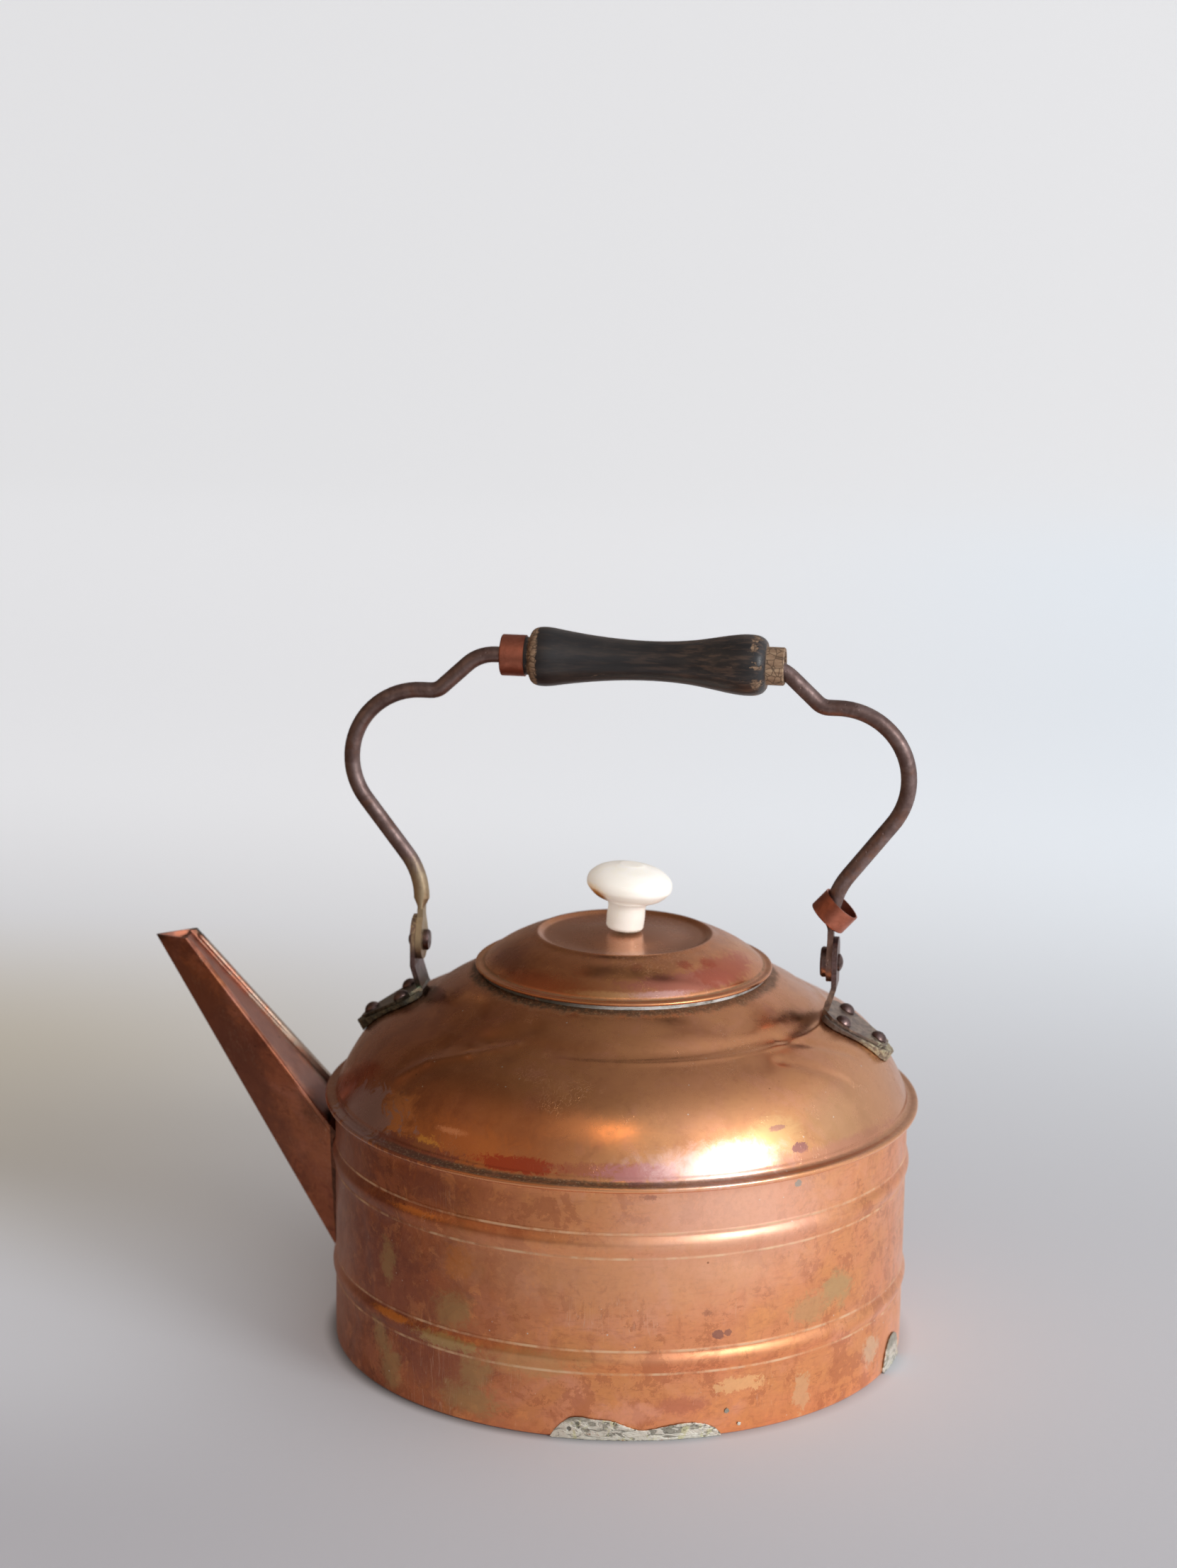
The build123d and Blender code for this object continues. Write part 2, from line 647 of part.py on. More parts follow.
# ---- bail ---------------------------------------------------------------
# Path of the rod on the +X side, as corners with bend radii, (x, height
# above the pivot, radius). It is mirrored for the -X side.
BENDS = (
    (56.6, 111.8, 15.5),
    (72.4, 97.1, 6.5),
    (132.7, 97.1, 26.7),
    (PIVOT_X, 26.07, 28.0),
)
NECK_TOP = 16.5           # the round rod ends here and is forged flat
NECK_LOW = 12.5


def rod_path(mirrored):
    """Straight pieces and bends from the pivot up to the middle of the top."""
    s = -1 if mirrored else 1
    corners = [(0.0, 111.8)] + [(x, t) for x, t, _ in BENDS] + [(PIVOT_X, NECK_TOP)]
    here = corners[0]
    for i, (x, t, radius) in enumerate(BENDS):
        a = corners[i]
        b = corners[i + 2]
        into = Vector(x - a[0], t - a[1]).normalized()
        out = Vector(b[0] - x, b[1] - t).normalized()
        turn = math.acos(max(-1, min(1, into.dot(out))))
        trim = radius * math.tan(turn / 2)
        start = Vector(x, t) - into * trim
        end = Vector(x, t) + out * trim
        bow = (out - into).normalized()
        centre = Vector(x, t) + bow * (radius / math.cos(turn / 2))
        middle = centre - bow * radius
        if (start - Vector(*here)).length > 0.01:
            Line((s * here[0], PIVOT_Z + here[1]), (s * start.X, PIVOT_Z + start.Y))
        ThreePointArc((s * start.X, PIVOT_Z + start.Y), (s * middle.X, PIVOT_Z + middle.Y),
                      (s * end.X, PIVOT_Z + end.Y))
        here = (end.X, end.Y)
    if here[1] - NECK_TOP > 0.01:
        Line((s * here[0], PIVOT_Z + here[1]), (s * PIVOT_X, PIVOT_Z + NECK_TOP))


def half_bail(mirrored):
    s = -1 if mirrored else 1
    with BuildPart() as half:
        with BuildLine(Plane.XZ) as line:
            rod_path(mirrored)
        with BuildSketch(Plane.YZ):
            with Locations((0, GRIP_Z)):
                Circle(ROD_R)
        sweep(path=line.wires()[0], transition=Transition.ROUND)
        # forged neck: round rod down to a flat strip
        with BuildSketch(Plane.XY.offset(PIVOT_Z + NECK_TOP)):
            with Locations((s * PIVOT_X, 0)):
                Circle(ROD_R)
        with BuildSketch(Plane.XY.offset(PIVOT_Z + NECK_LOW)):
            with Locations((s * PIVOT_X, 0)):
                RectangleRounded(EAR, 6.2, 0.8)
        loft()
        # flat ear with a round end about the pivot
        with BuildSketch(Plane.YZ.offset(s * PIVOT_X)):
            with BuildLine():
                ThreePointArc((-6.2, PIVOT_Z + 4.0), (0, PIVOT_Z - 7.4), (6.2, PIVOT_Z + 4.0))
                Line((6.2, PIVOT_Z + 4.0), (3.1, PIVOT_Z + 9.5))
                Line((3.1, PIVOT_Z + 9.5), (3.1, PIVOT_Z + NECK_LOW + 0.2))
                Line((3.1, PIVOT_Z + NECK_LOW + 0.2), (-3.1, PIVOT_Z + NECK_LOW + 0.2))
                Line((-3.1, PIVOT_Z + NECK_LOW + 0.2), (-3.1, PIVOT_Z + 9.5))
                Line((-3.1, PIVOT_Z + 9.5), (-6.2, PIVOT_Z + 4.0))
            make_face()
        extrude(amount=EAR / 2, both=True)
        with BuildSketch(Plane.YZ.offset(s * PIVOT_X)):
            with Locations((0, PIVOT_Z)):
                Circle(PIN_R + 0.08)
        extrude(amount=EAR, both=True, mode=Mode.SUBTRACT)
    return half.part


with BuildPart() as bail_rod:
    add(half_bail(False))
    add(half_bail(True))
bail_rod.part.label = "bail_rod"
export_step(bail_rod.part, "parts/bail_rod.step")


# ---- turned wooden grip -------------------------------------------------
GRIP_LEFT = -36.9
GRIP_RIGHT = 51.6
TENON_R = 7.1
LEFT_TENON_END = -45.4
RIGHT_TENON_END = 58.2
BELL_R = 5.7              # the bore opens out at +X to clear the rod's bend

with BuildPart() as grip_shape:
    with BuildSketch(Plane.XZ):
        with BuildLine():
            Line((LEFT_TENON_END, 0), (LEFT_TENON_END, TENON_R - 0.4))
            Line((LEFT_TENON_END, TENON_R - 0.4), (LEFT_TENON_END + 0.4, TENON_R))
            Line((LEFT_TENON_END + 0.4, TENON_R), (GRIP_LEFT, TENON_R))
            Line((GRIP_LEFT, TENON_R), (GRIP_LEFT, 8.3))
            Spline((GRIP_LEFT, 8.3), (-35.6, 10.2), (-32.6, 11.05), (-26.0, 10.45),
                   (-12.0, 8.5), (8.5, 7.4), (27.0, 8.8), (39.0, 10.9), (45.6, 11.35),
                   (50.0, 10.3), (GRIP_RIGHT, 8.5))
            Line((GRIP_RIGHT, 8.5), (GRIP_RIGHT, TENON_R))
            Line((GRIP_RIGHT, TENON_R), (RIGHT_TENON_END - 0.4, TENON_R))
            Line((RIGHT_TENON_END - 0.4, TENON_R), (RIGHT_TENON_END, TENON_R - 0.4))
            Line((RIGHT_TENON_END, TENON_R - 0.4), (RIGHT_TENON_END, 0))
            Line((RIGHT_TENON_END, 0), (LEFT_TENON_END, 0))
        make_face()
    revolve(axis=Axis.X)
    with BuildSketch(Plane.XZ):
        with BuildLine():
            Polyline((LEFT_TENON_END, 0), (LEFT_TENON_END, ROD_R + 0.08), (49.0, ROD_R + 0.08),
                     (RIGHT_TENON_END, BELL_R), (RIGHT_TENON_END, 0), (LEFT_TENON_END, 0))
        make_face()
    revolve(axis=Axis.X, mode=Mode.SUBTRACT)

with BuildPart() as grip:
    add(Pos(0, 0, GRIP_Z) * grip_shape.part)
grip.part.label = "grip"
export_step(grip.part, "parts/grip.step")


# ---- ferrules -----------------------------------------------------------
FERRULE_R = 7.75
FERRULE_WALL = 0.6


def ferrule(length, hole_r):
    """Drawn copper cup, closed end at z = 0, mouth towards +Z."""
    with BuildPart() as cup:
        Cylinder(FERRULE_R, length, align=(Align.CENTER, Align.CENTER, Align.MIN))
        fillet(cup.edges().filter_by(GeomType.CIRCLE).group_by(Axis.Z)[0], 0.55)
        with Locations((0, 0, FERRULE_WALL)):
            Cylinder(FERRULE_R - FERRULE_WALL, length,
                     align=(Align.CENTER, Align.CENTER, Align.MIN), mode=Mode.SUBTRACT)
        Cylinder(hole_r, 4, mode=Mode.SUBTRACT)
    return cup.part


with BuildPart() as fitted_ferrule:
    add(Pos(-47.9, 0, GRIP_Z) * Rot(0, 90, 0) * ferrule(9.1, 3.4))
fitted_ferrule.part.label = "fitted_ferrule"
export_step(fitted_ferrule.part, "parts/fitted_ferrule.step")

# The other ferrule has slid off the grip and hangs on the rear leg, cocked
# on the flat neck. It rocks about a line through the neck, along Y.
LOOSE_TILT = 42.0
LOOSE_OFF = 2.4           # how far the ferrule's axis hangs off the neck
LOOSE_AT = 15.0           # height of the rocking line above the pivot

with BuildPart() as loose_ferrule:
    seat = Pos(PIVOT_X, 0, PIVOT_Z + LOOSE_AT) * Rot(0, LOOSE_TILT, 0) * Pos(-LOOSE_OFF, 0, 0)
    add(seat * ferrule(8.3, 4.8))
loose_ferrule.part.label = "loose_ferrule"
export_step(loose_ferrule.part, "parts/loose_ferrule.step")
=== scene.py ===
"""Looks of the copper kettle: dented sheet, aged finishes, a pale stage, soft light and the camera.

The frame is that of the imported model: +Z up, spout towards -X, front towards -Y. Blender works in metres;
outlines, dents and stains are written in mm.
"""

import math

import bmesh
import bpy
import numpy as np
from mathutils import Matrix, Vector, noise


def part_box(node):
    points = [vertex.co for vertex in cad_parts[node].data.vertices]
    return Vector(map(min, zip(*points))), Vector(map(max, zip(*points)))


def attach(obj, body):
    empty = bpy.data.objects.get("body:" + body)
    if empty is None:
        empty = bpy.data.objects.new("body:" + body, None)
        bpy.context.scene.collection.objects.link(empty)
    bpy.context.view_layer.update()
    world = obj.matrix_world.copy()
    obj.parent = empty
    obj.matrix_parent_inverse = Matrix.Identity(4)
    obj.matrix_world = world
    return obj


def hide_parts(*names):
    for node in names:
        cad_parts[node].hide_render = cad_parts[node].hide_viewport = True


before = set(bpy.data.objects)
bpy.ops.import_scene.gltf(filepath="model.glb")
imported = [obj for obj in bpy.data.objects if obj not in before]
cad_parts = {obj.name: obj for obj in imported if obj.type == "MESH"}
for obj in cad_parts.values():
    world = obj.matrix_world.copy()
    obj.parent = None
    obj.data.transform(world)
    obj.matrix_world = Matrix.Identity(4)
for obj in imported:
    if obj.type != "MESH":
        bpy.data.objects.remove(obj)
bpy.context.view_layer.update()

MM = 0.001

# driving values: lengths in mm and angles in degrees, unless a comment says otherwise
WALL_RADIUS, WALL_SHEET = 109.0, 0.9
DOME_SHEET = 0.8
WALL_BEADS = ((24.9, 33.5), (68.3, 77.5))
BEAD_OUT = 1.05
STRAINER_ROWS = ((62.0, 5), (54.5, 4), (47.0, 3), (39.5, 2))
STRAINER_PITCH, STRAINER_RADIUS = 6.2, 2.3
STEP_CREST, STEP_FOOT = 77.6, 74.6  # radii of the pressed step in the shoulder
HEM_WIDE, HEM_TALL = 1.75, 1.25
HEM_INSET, HEM_SINK = 1.45, 0.65
RIVET_TILT = 31
RIVET_LEAST = 5  # shells shorter than this are not rivets
HEAD_WIDE, HEAD_SEAT, HEAD_CUT = 3.25, 2.4, 2.35
SOLDER_VOXEL, SOLDER_LUMP, SOLDER_RISE = 0.4, 2.2, 0.5
LENS, SENSOR, F_STOP = 74.86, 36.0, 8.0
EYE = (0.1658, -1.1797, 0.4828)  # metres
FOCUS = (0.01, -0.085, 0.10)  # metres, on the front of the shoulder
HEADING, TILT, ROLL = 8.691, 12.670, 0.835


# ---- shader helpers ----
class Nodes:
    """Adds shader nodes to a tree. Each call returns the socket that carries the result."""

    def __init__(self, tree):
        self.tree = tree

    def node(self, kind, **settings):
        made = self.tree.nodes.new(kind)
        for name, value in settings.items():
            setattr(made, name, value)
        return made

    def feed(self, socket, value):
        if isinstance(value, bpy.types.NodeSocket):
            self.tree.links.new(value, socket)
        elif socket.type == "RGBA":
            socket.default_value = (*value, 1.0)
        else:
            socket.default_value = value

    def calc(self, operation, *values):
        """One sum of the kind that a math node does."""
        made = self.node("ShaderNodeMath", operation=operation)
        for socket, value in zip(made.inputs, values):
            self.feed(socket, value)
        return made.outputs[0]

    def vector(self, operation, first, second):
        made = self.node("ShaderNodeVectorMath", operation=operation)
        self.feed(made.inputs[0], first)
        self.feed(made.inputs[1], second)
        return made.outputs["Value" if operation in ("DISTANCE", "DOT_PRODUCT") else "Vector"]

    def fade(self, value, start, end, low=0.0, high=1.0):
        """Low below start, high above end, and a smooth step between them."""
        made = self.node("ShaderNodeMapRange", interpolation_type="SMOOTHSTEP")
        for socket, number in zip(made.inputs, (value, start, end, low, high)):
            self.feed(socket, number)
        return made.outputs[0]

    def fall(self, value, start, end):
        """1 below start, 0 above end."""
        return self.fade(value, start, end, 1.0, 0.0)

    def blend(self, first, second, value, start, end, share=1.0):
        """The first colour, giving way to a share of the second as the value goes from start to end."""
        return self.mix(self.fade(value, start, end, 0.0, share), first, second)

    def line(self, value, level, near, far, strength=1.0):
        """A line where the value passes the level: full within `near` of it, nothing beyond `far`."""
        away = self.calc("ABSOLUTE", self.calc("SUBTRACT", value, level))
        return self.fade(away, near, far, strength, 0.0)

    def both(self, *shares):
        """The product of several masks."""
        out = shares[0]
        for share in shares[1:]:
            out = self.calc("MULTIPLY", out, share)
        return out

    def either(self, first, second):
        """The stronger of two masks."""
        return self.calc("MAXIMUM", first, second)

    def ramp(self, value, stops):
        """A colour that runs through (position, colour) stops."""
        made = self.node("ShaderNodeValToRGB")
        self.feed(made.inputs[0], value)
        points = made.color_ramp.elements
        for element, (position, colour) in zip((points[0], points[1]), (stops[0], stops[-1])):
            element.position = position
            element.color = (*colour, 1.0)
        for position, colour in stops[1:-1]:
            points.new(position).color = (*colour, 1.0)
        return made.outputs[0]

    def mix(self, share, first, second, blend="MIX"):
        made = self.node("ShaderNodeMix", data_type="RGBA", blend_type=blend)
        for index, value in ((0, share), (6, first), (7, second)):
            self.feed(made.inputs[index], value)
        return made.outputs[2]


class Finish(Nodes):
    """One procedural material, drawn in the object's own coordinates."""

    def __init__(self, name):
        self.material = bpy.data.materials.new(name)
        self.material.use_nodes = True
        super().__init__(self.material.node_tree)
        self.shader = self.tree.nodes["Principled BSDF"]
        self.place = self.node("ShaderNodeTexCoord").outputs["Object"]

    def noise(self, lump, detail=4.0, rough=0.55, warp=0.0, stretch=(1, 1, 1), shift=0.0):
        """Cloudy noise from 0 to 1 with lumps of about `lump` metres, longer along axes with stretch > 1."""
        scaled = self.vector("MULTIPLY", self.place, tuple(1 / (lump * s) for s in stretch))
        moved = self.vector("ADD", scaled, (shift, shift * 0.7, -shift * 0.4))
        made = self.node("ShaderNodeTexNoise", normalize=True)
        for name, value in (("Vector", moved), ("Scale", 1.0), ("Detail", detail), ("Roughness", rough),
                            ("Distortion", warp)):
            self.feed(made.inputs[name], value)
        return made.outputs[0]

    def cells(self, size, feature="F1", shift=0.0):
        """Distance to scattered points about `size` metres apart."""
        scaled = self.vector("MULTIPLY", self.place, (1 / size,) * 3)
        made = self.node("ShaderNodeTexVoronoi", feature=feature)
        self.feed(made.inputs["Vector"], self.vector("ADD", scaled, (shift,) * 3))
        self.feed(made.inputs["Scale"], 1.0)
        return made.outputs["Distance"]

    def part_of(self, axis):
        made = self.node("ShaderNodeSeparateXYZ")
        self.feed(made.inputs[0], self.place)
        return made.outputs[axis]

    def along(self, axis, start, end, low=0.0, high=1.0):
        """A fade between two places (metres) along an axis."""
        return self.fade(self.part_of(axis), start, end, low, high)

    def patch(self, middle, reach, soft=0.35, ragged=0.5):
        """1 inside an uneven patch about `middle`, 0 outside; reach is its half size along x, y, z. In mm."""
        middle = [m * MM for m in middle]
        reach = [r * MM for r in reach]
        scale = tuple(1 / r for r in reach)
        here = self.vector("MULTIPLY", self.place, scale)
        away = self.vector("DISTANCE", here, tuple(m * s for m, s in zip(middle, scale)))
        shift = middle[0] * 90 + middle[2] * 37
        curl = self.noise(min(0.010, 1.1 * min(reach)), 8.0, 0.74, 0.9, shift=shift)
        edge = self.calc("MULTIPLY_ADD", self.calc("SUBTRACT", curl, 0.5), ragged * 4.0, away)
        return self.fade(edge, 1.0 - soft, 1.0 + soft, 1.0, 0.0)

    def stain(self, colour, patches):
        """Lay patches (middle, reach, tint, share, soft, ragged) over a colour."""
        for middle, reach, tint, share, soft, ragged in patches:
            mask = self.patch(middle, reach, soft, ragged)
            colour = self.mix(self.both(mask, share), colour, tint)
        return colour

    def bump(self, height, depth, below=None):
        """A bump of `depth` metres, on top of another bump if one is given."""
        made = self.node("ShaderNodeBump")
        self.feed(made.inputs["Height"], height)
        self.feed(made.inputs["Distance"], depth)
        self.feed(made.inputs["Strength"], 1.0)
        if below is not None:
            self.feed(made.inputs["Normal"], below)
        return made.outputs[0]

    def done(self, colour, roughness, metallic, normal=None, **others):
        values = {"Base Color": colour, "Roughness": roughness, "Metallic": metallic, **others}
        if normal is not None:
            values["Normal"] = normal
        for name, value in values.items():
            self.feed(self.shader.inputs[name], value)
        return self.material


# ---- meshes and objects ----
def smooth_mesh(name, verts, faces):
    mesh = bpy.data.meshes.new(name)
    mesh.from_pydata(verts, [], faces)
    mesh.shade_smooth()
    return mesh


def put(name, data):
    """A new object in the scene."""
    made = bpy.data.objects.new(name, data)
    bpy.context.scene.collection.objects.link(made)
    return made


# ---- sheet metal turned about the upright axis ----
def smooth_line(points, steps):
    """A natural cubic curve through the points, sampled at `steps` even places."""
    knots = np.array(points, float)
    gaps = np.linalg.norm(np.diff(knots, axis=0), axis=1)
    count = len(knots)
    pull = np.eye(count)
    load = np.zeros(knots.shape)
    slopes = np.diff(knots, axis=0) / gaps[:, None]
    for i in range(1, count - 1):
        pull[i, i - 1:i + 2] = (gaps[i - 1], 2 * (gaps[i - 1] + gaps[i]), gaps[i])
        load[i] = 6 * (slopes[i] - slopes[i - 1])
    bend = np.linalg.solve(pull, load)
    along = np.concatenate([[0], np.cumsum(gaps)])
    made = []
    for at in np.linspace(0, along[-1], steps):
        i = min(int(np.searchsorted(along, at, side="right")) - 1, count - 2)
        a, b, gap = along[i + 1] - at, at - along[i], gaps[i]
        made.append((bend[i] * a ** 3 + bend[i + 1] * b ** 3) / (6 * gap)
                    + (knots[i] / gap - bend[i] * gap / 6) * a
                    + (knots[i + 1] / gap - bend[i + 1] * gap / 6) * b)
    return np.array(made)


def arc(middle, radius, start, end, steps):
    """Points on an arc, angles in degrees from the outward direction."""
    turn = np.radians(np.linspace(start, end, steps))
    return np.stack([middle[0] + radius * np.cos(turn), middle[1] + radius * np.sin(turn)], 1)


def joined(*parts):
    """Profile pieces end to end, without doubled points."""
    line = np.concatenate([np.atleast_2d(np.array(part, float)) for part in parts])
    keep = [True] + [bool(np.linalg.norm(b - a) > 0.01) for a, b in zip(line, line[1:])]
    return line[keep]


def across(line):
    """Unit normals of a profile, on its left as it is drawn."""
    run = np.gradient(line, axis=0)
    run /= np.linalg.norm(run, axis=1)[:, None]
    return np.stack([-run[:, 1], run[:, 0]], 1)


def dent(places, start, end, width, depth):
    """A soft groove along a straight line, fading out at both ends."""
    a, b = np.array(start), np.array(end)
    share = np.clip(((places - a) @ (b - a)) / ((b - a) @ (b - a)), 0, 1)
    away = np.linalg.norm(places - (a + share[:, None] * (b - a)), axis=1)
    return depth * np.exp(-(away / width) ** 2)


def unevenness(places, lump, height, shift=0.0):
    """Gentle waves in the sheet."""
    return np.array([noise.noise(Vector((p / lump) + shift)) for p in places]) * height


def turned_sheet(name, face, thickness, turns, wear):
    """Sheet metal with the given outer face (radius, height in mm), turned about Z and given its wear."""
    normal = across(face)
    loop = np.concatenate([face, (face - normal * thickness)[::-1]])
    aim = np.concatenate([normal, normal[::-1]])
    angle = np.linspace(0, 2 * math.pi, turns, endpoint=False)
    cos, sin = np.cos(angle)[:, None], np.sin(angle)[:, None]

    def turned(line):
        return np.stack([line[:, 0] * cos, line[:, 0] * sin, line[:, 1] + 0 * cos], 2).reshape(-1, 3)

    skin = turned(np.concatenate([face, face[::-1]]))
    places = turned(loop) + turned(aim) * wear(skin)[:, None]
    size = len(loop)
    start = np.arange(turns)[:, None] * size
    after = (np.arange(turns)[:, None] + 1) % turns * size
    here, next_one = np.arange(size)[None], (np.arange(size)[None] + 1) % size
    faces = np.stack([start + here, after + here, after + next_one, start + next_one], 2).reshape(-1, 4)
    return smooth_mesh(name, (places * MM).tolist(), faces.tolist())


def add_piece(name, mesh, body, slot, *nodes):
    """Put a finished mesh in place of CAD nodes, riding on their body, with the slot's material."""
    piece = put(name, mesh)
    piece.data.materials.append(materials[slot])
    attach(piece, body)
    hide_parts(*nodes)
    return piece


def tube_mesh(name, lines):
    """Closed tubes: each line is a list of rings, each ring a list of points in metres."""
    verts, faces = [], []
    for rings in lines:
        size = len(rings[0])
        first = len(verts)
        for ring in rings:
            verts.extend(tuple(point) for point in ring)
        for r in range(len(rings) - 1):
            for k in range(size):
                a, b = first + r * size + k, first + r * size + (k + 1) % size
                faces.append((a, b, b + size, a + size))
        last = first + (len(rings) - 1) * size
        faces.append(tuple(reversed(range(first, first + size))))
        faces.append(tuple(range(last, last + size)))
    return smooth_mesh(name, verts, faces)


def spout_hems():
    """The rolled hems along both top edges of the spout, hand-closed and slightly uneven."""
    points = [v.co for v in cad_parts["spout_side_shell"].data.vertices]
    mouth = max(points, key=lambda p: p.z)
    foot = max(points, key=lambda p: p.y)
    lines = []
    for side in (1, -1):
        start = Vector((mouth.x, side * abs(mouth.y), mouth.z))
        end = Vector((foot.x, side * abs(foot.y), foot.z))
        along = (end - start).normalized()
        over = along.cross(Vector((0, -1, 0))).normalized()
        if over.z < 0:
            over = -over
        inward = Vector((0, -side, 0))
        rings = []
        for step in range(61):
            middle = start.lerp(end, step / 60) + (inward * HEM_INSET - over * HEM_SINK) * MM
            swell = 1 + 0.10 * noise.noise(middle * 130) + 0.05 * noise.noise(middle * 420)
            size = swell * (0.35 + 0.65 * min(1.0, step / 2)) * MM
            ring = []
            for k in range(16):
                t = 2 * math.pi * k / 16
                ring.append(middle + (inward * HEM_WIDE * math.cos(t) + over * HEM_TALL * math.sin(t)) * size)
            rings.append(ring)
        lines.append(rings)
    add_piece("spout_hems", tube_mesh("spout_hems", lines), "kettle", "spout_copper")


# a rivet head from its base up: height in mm, and radius as a share of HEAD_WIDE
HEAD_PROFILE = (
    (0.0, 0.02), (0.0, 1.02), (0.35, 1.0), (0.9, 0.95), (1.5, 0.84), (2.1, 0.66), (2.6, 0.42), (2.85, 0.2),
)
HEAD_SIDES = 28


def loose_parts(shape):
    """The separate shells of a mesh, each a list of vertices, in the mesh's own order."""
    shape.verts.index_update()
    left = {vert.index: vert for vert in shape.verts}
    parts = []
    while left:
        queue = [left.pop(next(iter(left)))]
        part = []
        while queue:
            vert = queue.pop()
            part.append(vert)
            for edge in vert.link_edges:
                other = left.pop(edge.other_vert(vert).index, None)
                if other is not None:
                    queue.append(other)
        parts.append(part)
    return parts


def hammered_head(shape, number, base, up):
    """One domed rivet head with an uneven outline, built up in rings from its base."""
    across = up.cross(Vector((0, 1, 0))).normalized()
    beside = up.cross(across)
    rings = []
    for height, wide in HEAD_PROFILE:
        ring = []
        for k in range(HEAD_SIDES):
            t = 2 * math.pi * k / HEAD_SIDES
            bulge = 1 + 0.10 * noise.noise(Vector((math.cos(t), math.sin(t), number * 3.1 + height * 0.4)))
            out = across * math.cos(t) + beside * math.sin(t)
            tall = height * (1 + 0.08 * noise.noise(Vector((number * 5.0, math.cos(t), 1))))
            place = base + out * wide * HEAD_WIDE * bulge * MM + up * tall * MM
            ring.append(shape.verts.new(place))
        rings.append(ring)
    for low, high in zip(rings, rings[1:]):
        for k in range(HEAD_SIDES):
            n = (k + 1) % HEAD_SIDES
            shape.faces.new((low[k], low[n], high[n], high[k]))
    shape.faces.new(rings[-1])
    shape.faces.new(tuple(reversed(rings[0])))


def rivet_heads():
    """The six hammered rivets: the turned shafts of the model with taller, uneven heads."""
    shape = bmesh.new()
    shape.from_mesh(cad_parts["bracket_rivets"].data)
    tilt = math.radians(RIVET_TILT)
    tops = []
    flat = []
    for part in loose_parts(shape):
        side = 1 if sum(v.co.x for v in part) > 0 else -1
        up = Vector((side * math.sin(tilt), 0, math.cos(tilt)))
        heights = [v.co.dot(up) for v in part]
        if max(heights) - min(heights) < RIVET_LEAST * MM:
            continue
        tops.append((max(part, key=lambda v: v.co.dot(up)).co.copy(), up))
        flat.extend(v for v in part if v.co.dot(up) > max(heights) - HEAD_CUT * MM)
    bmesh.ops.delete(shape, geom=flat, context="VERTS")
    for number, (top, up) in enumerate(tops):
        hammered_head(shape, number, top - up * HEAD_SEAT * MM, up)
    bmesh.ops.recalc_face_normals(shape, faces=shape.faces)
    mesh = bpy.data.meshes.new("rivet_heads")
    shape.to_mesh(mesh)
    shape.free()
    mesh.shade_smooth()
    add_piece("rivet_heads", mesh, "kettle", "rivet_metal", "bracket_rivets")


# places on the shoulder, mm
DOME_LEFT_CREASE = ((-74, -66, 116), (-62, -66, 122.5), (-46, -69, 127.5), (-29, -68, 132.6))
DOME_RIGHT_DENTS = (((64.4, -40.4, 131.2), (89, -23, 122.2)), ((65.6, -52.2, 127.1), (89, -41, 117.5)))


def dome_wear(places):
    """Hand-made waviness, a long crease on the left, two dents on the right, and a crisper pressed step."""
    move = unevenness(places, 38.0, 0.22) + unevenness(places, 15.0, 0.05, 9.0)
    for start, end in zip(DOME_LEFT_CREASE, DOME_LEFT_CREASE[1:]):
        move = move + dent(places, start, end, 1.8, 0.50)
        below = (np.array(start) + (0, -3.5, -4.0), np.array(end) + (0, -3.5, -4.0))
        above = (np.array(start) + (6, 6.0, 5.0), np.array(end) + (4, 6.0, 4.0))
        move = move - dent(places, *below, 3.4, 0.35) - dent(places, *above, 4.5, 0.55)
    for start, end in DOME_RIGHT_DENTS:
        move = move - dent(places, start, end, 2.4, 0.42)
    radius = np.hypot(places[:, 0], places[:, 1])
    sharp = np.clip((places[:, 0] + 40.0) / 60.0, 0.25, 1)
    move = move + sharp * 0.22 * np.exp(-((radius - STEP_CREST) / 1.2) ** 2)
    move = move - sharp * 0.20 * np.exp(-((radius - STEP_FOOT) / 2.2) ** 2)
    rim = np.clip((places[:, 2] - 96.0) / 3.0, 0.15, 1)
    return move * rim


def dome_face():
    """Outer face of the shoulder, from the rolled seam up to the mouth."""
    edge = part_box("shoulder_dome")[1].x / MM - 0.05
    return joined(
        arc((edge - 1.2, 94.9), 1.2, -90, 90, 11),
        (110.6, 96.1),
        smooth_line(((110.2, 96.1), (109.2, 96.5), (108.55, 97.5), (108.3, 98.6)), 8),
        smooth_line((
            (108.3, 98.6), (106.2, 103.2), (102.0, 110.9), (96.0, 118.9), (88.0, 124.9), (80.0, 129.1),
            (77.0, 130.65), (73.4, 132.75), (70.0, 135.2), (66.0, 137.6), (60.0, 140.9), (54.6, 143.5),
        ), 160),
    )[::-1]


def lid_wear(places):
    """Gentle waves in the lid, none on its brim."""
    return unevenness(places, 20.0, 0.10, 4.0) * np.clip((places[:, 2] - 146.0) / 3.0, 0, 1)


def lid_face():
    """Top face of the lid: rolled brim, dome, ridge and dished middle."""
    return joined(
        arc((55.6, 145.6), 0.65, -90, 90, 9),
        (54.6, 146.2),
        smooth_line(((53.7, 146.2), (53.1, 146.45), (52.6, 147.2)), 5),
        smooth_line((
            (52.6, 147.2), (50.6, 149.0), (47.0, 151.6), (43.0, 153.8), (38.0, 156.1), (34.6, 157.5),
            (33.4, 158.05), (32.4, 157.9), (31.2, 157.2), (29.0, 156.85), (25.0, 156.85), (18.0, 157.4),
            (9.0, 158.1), (2.5, 158.5),
        ), 90),
    )[::-1]


